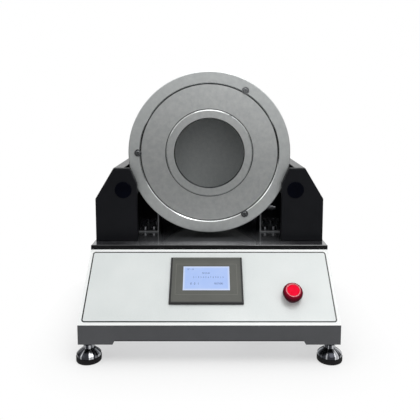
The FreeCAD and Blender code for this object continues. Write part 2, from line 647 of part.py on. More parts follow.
def circle(drawing, across, up, radius):
    """A circle with its centre and radius tied to formulas."""
    centre = FreeCAD.Vector(number(across), number(up), 0)
    row = drawing.addGeometry(Part.Circle(centre, FreeCAD.Vector(0, 0, 1), number(radius)))
    pin_point(drawing, row, 3, across, up)
    tie = drawing.addConstraint(Sketcher.Constraint("Radius", row, number(radius)))
    drawing.setExpression(f"Constraints[{tie}]", linked(radius))
    return drawing


def hexagon(drawing, across, up, half_flat):
    """A hexagon with two flats level, from half its width over flats."""
    x = number(across)
    y = number(up)
    reach = number(half_flat) / math.cos(math.pi / 6)
    corners = []
    for i in range(6):
        angle = math.pi / 3 * i
        corners.append(
            FreeCAD.Vector(x + reach * math.cos(angle), y + reach * math.sin(angle), 0)
        )
    ring = drawing.addGeometry(
        Part.Circle(FreeCAD.Vector(x, y, 0), FreeCAD.Vector(0, 0, 1), reach), True
    )
    pin_point(drawing, ring, 3, across, up)
    tie = drawing.addConstraint(Sketcher.Constraint("Radius", ring, reach))
    drawing.setExpression(f"Constraints[{tie}]", linked(f"({half_flat}) / cos(30deg)"))
    first = drawing.GeometryCount
    for i in range(6):
        drawing.addGeometry(Part.LineSegment(corners[i], corners[(i + 1) % 6]))
    for i in range(6):
        here = first + i
        drawing.addConstraint(
            Sketcher.Constraint("Coincident", here, 2, first + (i + 1) % 6, 1)
        )
        drawing.addConstraint(Sketcher.Constraint("PointOnObject", here, 1, ring))
    for i in range(1, 6):
        drawing.addConstraint(Sketcher.Constraint("Equal", first, first + i))
    drawing.addConstraint(Sketcher.Constraint("Horizontal", first + 1))
    return drawing


def round_box(drawing, left, right, low, high, corner):
    """A rectangle with rounded corners."""
    x0, x1, y0, y1 = (number(f) for f in (left, right, low, high))
    r = number(corner)
    first = drawing.GeometryCount
    ends = [
        ((x0 + r, y0), (x1 - r, y0)),
        ((x1, y0 + r), (x1, y1 - r)),
        ((x1 - r, y1), (x0 + r, y1)),
        ((x0, y1 - r), (x0, y0 + r)),
    ]
    middles = [(x1 - r, y0 + r), (x1 - r, y1 - r), (x0 + r, y1 - r), (x0 + r, y0 + r)]
    for (ax, ay), (bx, by) in ends:
        drawing.addGeometry(
            Part.LineSegment(FreeCAD.Vector(ax, ay, 0), FreeCAD.Vector(bx, by, 0))
        )
    for i, (mx, my) in enumerate(middles):
        whole = Part.Circle(FreeCAD.Vector(mx, my, 0), FreeCAD.Vector(0, 0, 1), r)
        start = math.pi / 2 * (i - 1)
        drawing.addGeometry(Part.ArcOfCircle(whole, start, start + math.pi / 2))
    for i in range(4):
        line = first + i
        arc = first + 4 + i
        after = first + (i + 1) % 4
        drawing.addConstraint(Sketcher.Constraint("Tangent", line, 2, arc, 1))
        drawing.addConstraint(Sketcher.Constraint("Tangent", arc, 2, after, 1))
    for i in range(1, 4):
        drawing.addConstraint(Sketcher.Constraint("Equal", first + 4, first + 4 + i))
    drawing.addConstraint(Sketcher.Constraint("Horizontal", first))
    drawing.addConstraint(Sketcher.Constraint("Vertical", first + 1))
    tie = drawing.addConstraint(Sketcher.Constraint("Radius", first + 4, r))
    drawing.setExpression(f"Constraints[{tie}]", linked(corner))
    sides = (
        ("DistanceY", first, low, y0),
        ("DistanceX", first + 1, right, x1),
        ("DistanceY", first + 2, high, y1),
        ("DistanceX", first + 3, left, x0),
    )
    for kind, line, formula, value in sides:
        row = drawing.addConstraint(Sketcher.Constraint(kind, -1, 1, line, 1, value))
        drawing.setExpression(f"Constraints[{row}]", linked(formula))
    return drawing


def feature(body, kind, drawing, **sizes):
    """A pad, pocket, turning or groove from a sketch, with its sizes tied."""
    made = body.newObject("PartDesign::" + kind, kind)
    made.Profile = drawing
    for name, formula in sizes.items():
        made.setExpression(name, linked(formula))
    drawing.Visibility = False
    body.Tip = made
    return made


def pad(body, drawing, length, back=False):
    """Material along the sketch's normal, or against it."""
    made = feature(body, "Pad", drawing, Length=length)
    made.Reversed = back
    return made


def pocket(body, drawing, depth):
    """A recess cut against the sketch's normal."""
    return feature(body, "Pocket", drawing, Length=depth)


def turn(body, drawing):
    """Material turned once round the sketch's upright axis."""
    made = feature(body, "Revolution", drawing)
    made.ReferenceAxis = (drawing, ["V_Axis"])
    made.Angle = 360
    return made


def edges_of(shape, test):
    """The names of the edges whose middle and direction pass a test."""
    names = []
    for i, edge in enumerate(shape.Edges, start=1):
        first, last = edge.ParameterRange
        middle = edge.valueAt((first + last) / 2)
        along = edge.tangentAt((first + last) / 2)
        if test(edge, middle, along):
            names.append(f"Edge{i}")
    return names


def soften(body, kind, radius, test):
    """Round or bevel the edges of a body's last feature that pass a test."""
    doc.recompute()
    base = body.Tip
    names = edges_of(base.Shape, test)
    made = body.newObject("PartDesign::" + kind, kind)
    made.Base = (base, names)
    made.setExpression("Radius" if kind == "Fillet" else "Size", linked(radius))
    body.Tip = made
    return made


def both_ways(reach):
    """A distance to the left and the same to the right, as formulas."""
    return (f"-({reach})", reach)


def mirrored(points, side):
    """An outline for the right side, or the same mirrored for the left."""
    if side > 0:
        return points
    return [(f"-({point[0]})", *point[1:]) for point in points]


fill_sheet()


# Base
def four_corners(x, y):
    """The four places at x and y, left and right, front and back."""
    return [(a, b) for a in both_ways(x) for b in both_ways(y)]


FOOT_PLACES = four_corners("foot_x", "foot_y")
FLOOR_SCREWS = four_corners("half_width - floor_screw_in", "floor_screw_y")
BRACKET_BOLTS = [
    ("roller_x - bracket_bolt_x", "motor_face - bracket_bolt_y"),
    ("roller_x + bracket_bolt_x", "motor_face - bracket_bolt_y"),
]
TOWER_BOLTS = [
    (x, "tower_bolt_y") for r in ("tower_bolt_in", "tower_bolt_out") for x in both_ways(r)
] + [
    (x, "rear_bolt_y")
    for r in ("rear_bolt_mid", "tower_bolt_in", "tower_bolt_out")
    for x in both_ways(r)
]
ANGLE_BOLTS = [
    (x, y)
    for r in ("angle_bolt_in", "angle_bolt_out")
    for x in both_ways(r)
    for y in ("angle_bolt_front", "angle_bolt_back")
]
COVER_SCREWS = [
    (x, y) for x in both_ways("cover_screw_x") for y in ("cover_screw_front", "cover_screw_back")
]
REAR_SCREWS = [
    (x, z)
    for x in (*both_ways("rear_half - rear_screw_in"), "0")
    for z in ("rear_low + rear_screw_in", "rear_high - rear_screw_in")
]


def rectangle_pocket(body, plane, at, half_x, half_y, depth):
    """A rectangular recess, the same to both sides of the middle."""
    drawing = new_sketch(body, plane, at)
    box_outline(drawing, *both_ways(half_x), *both_ways(half_y))
    pocket(body, drawing, depth)


def drill(body, plane, at, places, radius, depth):
    """Round holes at the given places."""
    drawing = new_sketch(body, plane, at)
    for across, up in places:
        circle(drawing, across, up, radius)
    pocket(body, drawing, depth)


def slots(drawing, left, right, low, step, wide, corner, count):
    """A column of level slots with rounded corners, one above the other."""
    for row in range(count):
        foot = f"{low} + {row} * {step}"
        round_box(drawing, left, right, foot, f"{foot} + {wide}", corner)


def skirt_frame():
    """The dark frame that the feet are screwed into, folded in at top and bottom."""
    body = new_body("skirt_frame")
    block = new_sketch(body, "XY", "skirt_low")
    box_outline(block, *both_ways("half_width"), *both_ways("half_depth"))
    pad(body, block, "skirt_top - skirt_low")
    for top, depth, wall in (
        ("lip_low", "lip_low - skirt_low", "sheet"),
        ("skirt_top - sheet", "skirt_top - sheet - lip_top", "sheet"),
        ("skirt_top", "sheet", "sheet + flange_wide"),
        ("lip_top", "sheet", "lip_wide"),
    ):
        rectangle_pocket(
            body, "XY", top, f"half_width - ({wall})", f"half_depth - ({wall})", depth
        )
    for plane, at, reach, through in (
        ("XZ", "-half_depth", "notch_half", "half_depth * 2"),
        ("YZ", "half_width", "notch_half - half_width + half_depth", "half_width * 2"),
    ):
        notch = new_sketch(body, plane, at)
        left, right = both_ways(reach)
        outline(
            notch,
            [
                (left, "skirt_low"),
                (right, "skirt_low"),
                (right + " - notch_run", "lip_low"),
                (left + " + notch_run", "lip_low"),
            ],
        )
        pocket(body, notch, through)
    drill(body, "XY", "lip_top", FOOT_PLACES, "stud_r + running_fit", "sheet")
    drill(body, "XY", "lip_top", FLOOR_SCREWS, "screw_r", "sheet")


def bottom_cover():
    """The floor of the base, with a hole over each stud and slots for cooling air."""
    body = new_body("bottom_cover")
    plate = new_sketch(body, "XY", "lip_top")
    reach = "sheet + fit"
    box_outline(plate, *both_ways(f"half_width - ({reach})"), *both_ways(f"half_depth - ({reach})"))
    pad(body, plate, "sheet")
    drill(body, "XY", "floor_z", FOOT_PLACES, "stud_hole_r", "sheet")
    drill(body, "XY", "floor_z", FLOOR_SCREWS, "screw_r", "sheet")
    vents = new_sketch(body, "XY", "floor_z")
    slots(
        vents,
        "floor_vent_left",
        "floor_vent_left + floor_vent_long",
        "floor_vent_front",
        "floor_vent_step",
        "floor_vent_wide",
        "floor_vent_round",
        7,
    )
    pocket(body, vents, "sheet")


def housing_shell():
    """The light sheet housing whose front slopes back as the control panel."""
    body = new_body("housing_shell")
    side = new_sketch(body, "YZ", "-half_width")
    outline(
        side,
        [
            ("-half_depth", "skirt_top"),
            ("back_face", "skirt_top"),
            ("back_face", "deck_low"),
            ("panel_top_y", "deck_low"),
        ],
    )
    pad(body, side, "half_width * 2")
    cavity = new_sketch(body, "YZ", "half_width - sheet")
    outline(
        cavity,
        [
            ("cavity_foot_y", "cavity_low"),
            ("back_face - sheet", "cavity_low"),
            ("back_face - sheet", "cavity_top"),
            ("cavity_top_y", "cavity_top"),
        ],
    )
    pocket(body, cavity, "(half_width - sheet) * 2")
    rim = "sheet + flange_wide"
    rectangle_pocket(
        body, "XY", "cavity_low", f"half_width - ({rim})", f"half_depth - ({rim})", "sheet"
    )
    rear = new_sketch(body, "XZ", "back_face - sheet * 2")
    box_outline(
        rear,
        *both_ways("rear_half - rear_open_rim"),
        "rear_low + rear_open_rim",
        "rear_high - rear_open_rim",
    )
    pocket(body, rear, "sheet * 3")
    drill(body, "XZ", "back_face - sheet * 2", REAR_SCREWS, "screw_r", "sheet * 3")
    belt = new_sketch(body, "XY", "deck_low")
    box_outline(
        belt, "roller_x - slot_half", "roller_x + slot_half", "slot_front", "slot_back"
    )
    pocket(body, belt, "sheet")
    drill(
        body, "XY", "deck_low", TOWER_BOLTS + ANGLE_BOLTS + BRACKET_BOLTS, "bolt_r", "sheet"
    )
    drill(body, "XY", "deck_low", COVER_SCREWS, "screw_r", "sheet")
    openings = new_sketch(body, "PANEL", "sheet")
    box_outline(
        openings,
        "hmi_x - hmi_case_wide - fit",
        "hmi_x + hmi_case_wide + fit",
        "hmi_up - hmi_case_high - fit",
        "hmi_up + hmi_case_high + fit",
    )
    circle(openings, "stop_x", "stop_up", "stop_thread_r")
    pocket(body, openings, "sheet * 3")


def rear_cover():
    """The screwed plate at the back, with slots for air and an opening for the inlet."""
    body = new_body("rear_cover")
    plate = new_sketch(body, "XZ", "half_depth")
    box_outline(plate, *both_ways("rear_half"), "rear_low", "rear_high")
    pad(body, plate, "half_depth - back_face")
    drill(body, "XZ", "back_face", REAR_SCREWS, "screw_r", "sheet")
    opening = new_sketch(body, "XZ", "back_face")
    box_outline(
        opening,
        "inlet_x - inlet_case_wide",
        "inlet_x + inlet_case_wide",
        "inlet_z - inlet_case_high",
        "inlet_z + inlet_case_high",
    )
    for left in ("0", "rear_vent_side"):
        slots(
            opening,
            left,
            f"{left} + rear_vent_long",
            "rear_vent_low",
            "rear_vent_step",
            "rear_vent_wide",
            "rear_vent_round",
            6,
        )
    pocket(body, opening, "sheet")


def deck_plate():
    """The thick black plate that carries the towers."""
    body = new_body("deck_plate")
    plate = new_sketch(body, "XY", "deck_low")
    box_outline(plate, *both_ways("half_width"), "panel_top_y", "back_face")
    pad(body, plate, "deck_thick")
    top = number("deck_top")
    soften(body, "Chamfer", "deck_bevel", lambda e, m, t: abs(m.z - top) < 0.01)
    slot = new_sketch(body, "XY", "deck_top")
    box_outline(
        slot, "roller_x - slot_half", "roller_x + slot_half", "slot_front", "slot_back"
    )
    pocket(body, slot, "deck_thick")
    drill(
        body, "XY", "deck_top", TOWER_BOLTS + ANGLE_BOLTS + BRACKET_BOLTS, "bolt_r", "deck_thick"
    )
    drill(body, "XY", "deck_top", COVER_SCREWS, "screw_r", "deck_thick")


def socket_bolts(body, at, places, shank, heads_up):
    """Socket head bolts whose heads rest on the plane at a height."""
    heads = new_sketch(body, "XY", at)
    for x, y in places:
        circle(heads, x, y, "bolt_head_r")
    pad(body, heads, "bolt_head_high", back=not heads_up)
    shanks = new_sketch(body, "XY", at)
    for x, y in places:
        circle(shanks, x, y, "bolt_r")
    pad(body, shanks, shank, back=heads_up)
    way = "+" if heads_up else "-"
    floor = f"{at} {way} bolt_head_high"
    if not heads_up:
        floor += " + bolt_r"
    sockets = new_sketch(body, "XY", floor)
    for x, y in places:
        hexagon(sockets, x, y, "socket_half")
    pocket(body, sockets, "bolt_r")


def deck_bolts():
    """The bolts that hold towers, angle brackets and motor bracket to the deck."""
    body = new_body("deck_bolts")
    socket_bolts(
        body, "deck_top + angle_thick", ANGLE_BOLTS, "angle_thick + deck_thick + sheet", True
    )
    socket_bolts(body, "cavity_top", TOWER_BOLTS, "sheet + deck_thick + bolt_deep", False)
    socket_bolts(
        body, "cavity_top - bracket_thick", BRACKET_BOLTS, "bracket_thick + sheet + deck_thick",
        False,
    )


def round_screws(body, plane, at, places, shank, outward):
    """Round head screws whose heads rest on a plane; outward is along its normal."""
    heads = new_sketch(body, plane, at)
    for across, up in places:
        circle(heads, across, up, "screw_head_r")
    pad(body, heads, "screw_head_high", back=not outward)
    shanks = new_sketch(body, plane, at)
    for across, up in places:
        circle(shanks, across, up, "screw_r")
    pad(body, shanks, shank, back=outward)


def cover_screws():
    """The small screws of rear cover, floor and tower covers."""
    body = new_body("cover_screws")
    round_screws(body, "XZ", "half_depth", REAR_SCREWS, "sheet * 2", False)
    round_screws(body, "XY", "lip_low", FLOOR_SCREWS, "sheet * 2", False)
    round_screws(
        body, "XY", "deck_top + sheet", COVER_SCREWS, "deck_thick + sheet * 2", True
    )
    reach = number("screw_head_r")
    soften(
        body,
        "Fillet",
        "screw_head_high / 2",
        lambda e, m, t: is_ring(e, reach) and is_outer_end(m),
    )


def is_ring(edge, radius):
    """Whether an edge is a whole circle of that radius."""
    curve = edge.Curve
    return isinstance(curve, Part.Circle) and abs(curve.Radius - radius) < 0.01


def is_outer_end(point):
    """Whether a point lies on the outer face of one of the small screws' heads."""
    head = number("screw_head_high")
    behind = abs(point.y - number("half_depth") - head) < 0.01
    under = abs(point.z - number("lip_low") + head) < 0.01
    over = abs(point.z - number("deck_top + sheet") - head) < 0.01
    return behind or under or over


# Towers
TOWER_OUTLINE = [
    ("tower_foot_in", "deck_top"),
    ("tower_foot_out", "deck_top"),
    ("tower_foot_out", "tower_knee_z"),
    ("tower_top_out", "tower_top_z"),
    ("tower_top_in", "tower_top_z"),
    ("tower_neck_in", "tower_neck_z"),
]


def tower_plate(name, side):
    """A black front plate, bored for the front bearing of its roller shaft."""
    body = new_body(name)
    plate = new_sketch(body, "XZ", "tower_back")
    outline(plate, mirrored(TOWER_OUTLINE, side))
    pad(body, plate, "tower_thick")
    front = number("tower_front")
    soften(body, "Chamfer", "tower_bevel", lambda e, m, t: abs(m.y - front) < 0.01)
    bore = mirrored([("roller_x", "roller_z")], side)
    drill(body, "XZ", "tower_front", bore, "bearing_r", "tower_thick")
    threads = mirrored([(r, "tower_bolt_y") for r in ("tower_bolt_in", "tower_bolt_out")], side)
    drill(body, "XY", "deck_top + bolt_deep", threads, "bolt_r", "bolt_deep")


def rear_bearing_plate():
    """The rear plate, both towers in one piece with a low web between them."""
    body = new_body("rear_bearing_plate")
    plate = new_sketch(body, "XZ", "rear_plate_back")
    right = TOWER_OUTLINE[1:] + [("tower_foot_in", "web_top_z")]
    left = mirrored(right, -1)[::-1]
    outline(plate, left + right)
    pad(body, plate, "tower_thick")
    bores = mirrored([("roller_x", "roller_z")], -1) + [("roller_x", "roller_z")]
    drill(body, "XZ", "rear_plate_front", bores, "bearing_r", "tower_thick")
    threads = [place for place in TOWER_BOLTS if place[1] == "rear_bolt_y"]
    drill(body, "XY", "deck_top + bolt_deep", threads, "bolt_r", "bolt_deep")


def tower_cover(name, side):
    """The folded sheet over the outer side of a tower, its top strip and its foot."""
    body = new_body(name)
    fold = new_sketch(body, "XZ", "rear_plate_front")
    outline(
        fold,
        mirrored(
            [
                ("tower_foot_out", "deck_top"),
                ("tower_foot_out", "tower_knee_z"),
                ("tower_top_out", "tower_top_z"),
                ("strip_in", "tower_top_z"),
                ("strip_in", "tower_top_z - sheet"),
                ("top_in_x", "tower_top_z - sheet"),
                ("tower_foot_out - sheet", "knee_in_z"),
                ("tower_foot_out - sheet", "deck_top + sheet"),
                ("cover_foot_in", "deck_top + sheet"),
                ("cover_foot_in", "deck_top"),
            ],
            side,
        ),
    )
    pad(body, fold, "rear_plate_front - tower_back")
    holes = [("cover_screw_x", y) for y in ("cover_screw_front", "cover_screw_back")]
    drill(body, "XY", "deck_top + sheet", mirrored(holes, side), "screw_r", "sheet")


def angle_bracket(name, side):
    """A bent bracket between tower and drum; the right one is bored for the speed sensor."""
    body = new_body(name)
    bend = new_sketch(body, "XZ", "angle_back")
    outline(
        bend,
        mirrored(
            [
                ("angle_in", "deck_top"),
                ("angle_out", "deck_top"),
                ("angle_out", "deck_top + angle_thick"),
                ("angle_in + angle_thick", "deck_top + angle_thick"),
                ("angle_in + angle_thick", "angle_top"),
                ("angle_in", "angle_top"),
            ],
            side,
        ),
    )
    pad(body, bend, "angle_back - angle_front")
    corner = FreeCAD.Vector(
        side * number("angle_in + angle_thick"), 0, number("deck_top + angle_thick")
    )
    soften(
        body,
        "Fillet",
        "angle_bend",
        lambda e, m, t: abs(m.x - corner.x) < 0.01 and abs(m.z - corner.z) < 0.01,
    )
    top = number("angle_top")
    soften(
        body,
        "Fillet",
        "angle_round",
        lambda e, m, t: abs(m.z - top) < 0.01 and abs(t.x) > 0.99,
    )
    bolts = [
        (r, y)
        for r in ("angle_bolt_in", "angle_bolt_out")
        for y in ("angle_bolt_front", "angle_bolt_back")
    ]
    drill(
        body, "XY", "deck_top + angle_thick", mirrored(bolts, side), "bolt_r", "angle_thick"
    )
    if side > 0:
        bore = new_sketch(body, "YZ", "angle_in + angle_thick / 2")
        circle(bore, "sensor_y", "sensor_z", "sensor_r + fit")
        feature(body, "Pocket", bore, Length="angle_thick * 3").Midplane = True


def speed_sensor():
    """The round sensor that counts the drum's turns, with its two nuts."""
    body = new_body("speed_sensor", "0", "sensor_y", "sensor_z")
    barrel = new_sketch(body, "XZ")
    outline(
        barrel,
        [
            ("sensor_tip", "0"),
            ("sensor_end + sensor_tail", "0"),
            ("sensor_end + sensor_tail", "sensor_tail_r"),
            ("sensor_end", "sensor_tail_r"),
            ("sensor_end", "sensor_r"),
            ("sensor_tip + sensor_cap", "sensor_r"),
            ("sensor_tip + sensor_cap - sensor_cap_step", "sensor_r - sensor_cap_step"),
            ("sensor_tip", "sensor_r - sensor_cap_step"),
        ],
    )
    turned = feature(body, "Revolution", barrel)
    turned.ReferenceAxis = (barrel, ["H_Axis"])
    turned.Angle = 360
    for at in ("angle_in - sensor_nut_wide", "angle_in + angle_thick"):
        nut = new_sketch(body, "YZ", at)
        hexagon(nut, "0", "0", "sensor_nut_half")
        pad(body, nut, "sensor_nut_wide")


# Rollers
def turned_on_y(name, x, z, outlines):
    """A body turned round a level axis that runs from front to back."""
    body = new_body(name, x, "0", z)
    for points in outlines:
        turn(body, outline(new_sketch(body, "XY"), points))
    return body


def bearings():
    """The four sealed ball bearings of the roller shafts."""
    body = new_body("bearings")
    for back, face in (
        ("tower_back", "tower_back - bearing_wide"),
        ("rear_plate_front + bearing_wide", "rear_plate_front"),
    ):
        rings = new_sketch(body, "XZ", back)
        for x in both_ways("roller_x"):
            circle(rings, x, "roller_z", "bearing_r")
            circle(rings, x, "roller_z", "journal_r + running_fit")
        pad(body, rings, "bearing_wide")
        shields = new_sketch(body, "XZ", face)
        for x in both_ways("roller_x"):
            circle(shields, x, "roller_z", "bearing_r - outer_ring")
            circle(shields, x, "roller_z", "journal_r + inner_ring")
        pocket(body, shields, "shield_sunk")


def bearing_caps():
    """The round caps pressed into the open ends of the bearing bores."""
    body = new_body("bearing_caps")
    ends = [(x, "tower_front + cap_deep", "tower_front") for x in both_ways("roller_x")]
    ends.append(("-roller_x", "rear_plate_back", "rear_plate_back + cap_proud"))
    for x, spigot, rim in ends:
        plug = new_sketch(body, "XZ", spigot)
        circle(plug, x, "roller_z", "bearing_r")
        pad(body, plug, "cap_deep")
        disc = new_sketch(body, "XZ", rim)
        circle(disc, x, "roller_z", "cap_r")
        pad(body, disc, "cap_proud")
    reach = number("cap_r")
    soften(body, "Fillet", "cap_round", lambda e, m, t: is_ring(e, reach) and is_cap_face(m))


def is_cap_face(point):
    """Whether a point lies on the outer face of a bearing cap."""
    proud = number("cap_proud")
    front = abs(point.y - number("tower_front") + proud) < 0.01
    back = abs(point.y - number("rear_plate_back") - proud) < 0.01
    return front or back


def roller_shaft(name, x, end):
    """A shaft stepped down at both ends for its bearings."""
    turned_on_y(
        name,
        x,
        "roller_z",
        [
            [
                ("0", "tower_back - bearing_wide"),
                ("journal_r - shaft_bevel", "tower_back - bearing_wide"),
                ("journal_r", "tower_back - bearing_wide + shaft_bevel"),
                ("journal_r", "tower_back + fit"),
                ("shaft_r", "tower_back + fit"),
                ("shaft_r", "rear_plate_front - fit"),
                ("journal_r", "rear_plate_front - fit"),
                ("journal_r", end + " - shaft_bevel"),
                ("journal_r - shaft_bevel", end),
                ("0", end),
            ]
        ],
    )


def roller_hubs(name, x):
    """The two metal hubs of a roller, each with a lip on the drum's side of its flange."""
    hubs = []
    for end, face, out, back in (
        ("flange_front - hub_over", "flange_back + lip_gap", "+", "-"),
        ("drum_back + hub_over", "rear_flange_front - lip_gap", "-", "+"),
    ):
        far = f"{face} {out} hub_lip_wide"
        hubs.append(
            [
                ("shaft_r", end),
                ("hub_r", end),
                ("hub_r", face),
                ("hub_lip_r", face),
                ("hub_lip_r", f"{far} {back} hub_lip_bevel"),
                ("hub_lip_r - hub_lip_bevel", far),
                ("shaft_r", far),
            ]
        )
    turned_on_y(name, x, "roller_z", hubs)


def roller_tyres(name, x):
    """The rubber tyres that the drum's flanges run on."""
    outlines = []
    for low, high in (
        ("flange_front - hub_over", "flange_back + lip_gap"),
        ("rear_flange_front - lip_gap", "drum_back + hub_over"),
    ):
        outlines.append(
            [
                ("hub_r", low),
                ("roller_r - tyre_bevel", low),
                ("roller_r", low + " + tyre_bevel"),
                ("roller_r", high + " - tyre_bevel"),
                ("roller_r - tyre_bevel", high),
                ("hub_r", high),
            ]
        )
    turned_on_y(name, x, "roller_z", outlines)


# Drive
def pulley_profile(bore):
    """Half the section of a belt pulley with a rim on both sides."""
    half = "belt_wide / 2 + fit"
    return [
        (bore, "pulley_front"),
        ("pulley_rim_r", "pulley_front"),
        ("pulley_rim_r", "pulley_front + rim_wide / 2"),
        ("pulley_r - running_fit", f"belt_y - ({half})"),
        ("pulley_r - running_fit", f"belt_y + {half}"),
        ("pulley_rim_r", "pulley_back - rim_wide / 2"),
        ("pulley_rim_r", "pulley_back"),
        (bore, "pulley_back"),
    ]


def roller_pulley():
    """The pulley on the rear end of the right roller shaft."""
    turned_on_y("roller_pulley", "roller_x", "roller_z", [pulley_profile("journal_r")])


def motor_pulley():
    """The pulley on the gear motor, with the motor's output shaft in it."""
    shaft = [
        ("0", "motor_face - gear_long / 2"),
        ("output_r", "motor_face - gear_long / 2"),
        ("output_r", "pulley_back + output_proud"),
        ("0", "pulley_back + output_proud"),
    ]
    turned_on_y("motor_pulley", "roller_x", "motor_z", [pulley_profile("output_r"), shaft])


def drive_belt():
    """The belt from the gear motor in the base up to the right roller shaft."""
    body = new_body("drive_belt")
    loop = new_sketch(body, "XZ", "belt_y + belt_wide / 2")
    upright_slot(loop, "roller_x", "motor_z", "roller_z", "pulley_r + belt_thick")
    upright_slot(loop, "roller_x", "motor_z", "roller_z", "pulley_r")
    pad(body, loop, "belt_wide")


def gear_motor():
    """The gear motor under the deck: square gear box, ribbed motor and terminal box."""
    body = new_body("gear_motor", "roller_x", "motor_face", "motor_z")
    box = new_sketch(body, "XZ")
    round_box(box, *both_ways("gear_half"), *both_ways("gear_half"), "gear_round")
    pad(body, box, "gear_long")
    boss = new_sketch(body, "XZ", "bracket_thick")
    circle(boss, "0", "0", "boss_r - fit")
    pad(body, boss, "bracket_thick")
    frame = new_sketch(body, "XZ", "-gear_long")
    circle(frame, "0", "0", "motor_r - rib_deep")
    pad(body, frame, "motor_long")
    for row in range(9):
        rib = new_sketch(body, "XZ", f"-gear_long - rib_first - {row} * rib_step")
        circle(rib, "0", "0", "motor_r")
        pad(body, rib, "rib_wide")
    terminals = new_sketch(body, "XY", "motor_r - terminal_sunk")
    front = "-gear_long - terminal_start"
    box_outline(terminals, *both_ways("terminal_half"), front + " - terminal_long", front)
    pad(body, terminals, "terminal_high")
    bore = new_sketch(body, "XZ", "-gear_long / 2 - output_room")
    circle(bore, "0", "0", "output_r + running_fit")
    pocket(body, bore, "gear_long")


def motor_bracket():
    """The bent bracket that hangs the gear motor under the deck."""
    body = new_body("motor_bracket", "roller_x", "motor_face")
    bend = new_sketch(body, "YZ", "-bracket_half")
    outline(
        bend,
        [
            ("bracket_thick - bracket_foot", "cavity_top"),
            ("bracket_thick - bracket_foot", "cavity_top - bracket_thick"),
            ("0", "cavity_top - bracket_thick"),
            ("0", "motor_z - gear_half - bracket_below"),
            ("bracket_thick", "motor_z - gear_half - bracket_below"),
            ("bracket_thick", "cavity_top"),
        ],
    )
    pad(body, bend, "bracket_half * 2")
    drill(body, "XZ", "0", [("0", "motor_z")], "boss_r", "bracket_thick")
    fixing = new_sketch(body, "XZ")
    for x in both_ways("gear_half - bracket_slot_in"):
        for z in (
            "motor_z - gear_half + bracket_slot_in",
            "motor_z + gear_half - bracket_slot_in",
        ):
            low = f"{z} - bracket_slot_half"
            upright_slot(fixing, x, low, f"{z} + bracket_slot_half", "bracket_slot_r")
    pocket(body, fixing, "bracket_thick")
    holes = [("-bracket_bolt_x", "-bracket_bolt_y"), ("bracket_bolt_x", "-bracket_bolt_y")]
    drill(body, "XY", "cavity_top", holes, "bolt_r", "bracket_thick")
    heads = [
        (f"{r} - roller_x", "rear_bolt_y - motor_face")
        for r in ("tower_bolt_in", "tower_bolt_out")
    ]
    drill(body, "XY", "cavity_top", heads, "bolt_head_r + bracket_head_room", "bracket_thick")


def belt_guard():
    """The cover over belt and pulley behind the right tower."""
    body = new_body("belt_guard", "roller_x")
    for at, length, wall in (
        ("guard_back", "guard_back - rear_plate_back", "0"),
        ("rear_plate_back", "guard_back - rear_plate_back - sheet", "sheet"),
    ):
        shape = new_sketch(body, "XZ", at)
        half = f"guard_half - {wall}"
        top = f"guard_top - {wall}"
        radius = f"guard_round - {wall}"
        outline(
            shape,
            [
                (f"-({half})", "deck_top"),
                (half, "deck_top"),
                (half, f"{top} - ({radius})", radius, 1),
                (f"{half} - ({radius})", top),
                (f"{radius} - ({half})", top, radius, 1),
                (f"-({half})", f"{top} - ({radius})"),
            ],
        )
        if wall == "0":
            pad(body, shape, length)
        else:
            pocket(body, shape, length)
    vents = new_sketch(body, "XZ", "guard_back - sheet")
    slots(
        vents,
        *both_ways("guard_vent_half"),
        "guard_vent_low",
        "guard_vent_step",
        "guard_vent_wide",
        "guard_vent_round",
        8,
    )
    pocket(body, vents, "sheet")


# Drum
def drum_shell():
    """The drum's wall and back in one, rounded where they meet."""
    body = turned_on_y(
        "drum_shell",
        "0",
        "drum_z",
        [
            [
                ("chamber_r", "flange_back"),
                ("shell_r", "flange_back"),
                ("shell_r", "drum_back"),
                ("0", "drum_back"),
                ("0", "chamber_back"),
                ("chamber_r - corner_r", "chamber_back", "corner_r", -1),
                ("chamber_r", "chamber_back - corner_r"),
            ]
        ],
    )
    stud = new_sketch(body, "XY", "shell_r - target_foot")
    circle(stud, "0", "sensor_y", "target_r")
    pad(body, stud, "target_high + target_foot")


def screw_places():
    """Where the three screws of the lid sit, seen from the drum's axis."""
    return [
        ("lid_screw_side", "lid_screw_up"),
        ("-lid_screw_reach", "0"),
        ("lid_screw_side", "-lid_screw_up"),
    ]


def front_flange():
    """The wide ring at the mouth of the drum, sunk for the lid and its washers."""
    body = turned_on_y(
        "front_flange",
        "0",
        "drum_z",
        [
            [
                ("seat_r", "seal_back"),
                ("lid_seat_r", "seal_back"),
                ("lid_seat_r", "flange_front + seat_bevel"),
                ("lid_seat_r + seat_bevel", "flange_front"),
                ("flange_r - rim_bevel", "flange_front"),
                ("flange_r", "flange_front + rim_bevel"),
                ("flange_r", "flange_back - rim_bevel"),
                ("flange_r - rim_bevel", "flange_back"),
                ("seat_r", "flange_back"),
            ]
        ],
    )
    drill(body, "XZ", "flange_front", screw_places(), "spot_r", "lid_sunk")
    drill(
        body,
        "XZ",
        "lid_front",
        screw_places(),
        "lid_shank_r + running_fit",
        "lid_shank_long + lid_thread_room",
    )


def rear_flange():
    """The ring at the back of the drum that runs on the rear rollers."""
    turned_on_y(
        "rear_flange",
        "0",
        "drum_z",
        [
            [
                ("shell_r", "rear_flange_front"),
                ("flange_r - rim_bevel", "rear_flange_front"),
                ("flange_r", "rear_flange_front + rim_bevel"),
                ("flange_r", "drum_back - rim_bevel"),
                ("flange_r - rim_bevel", "drum_back"),
                ("shell_r", "drum_back"),
            ]
        ],
    )


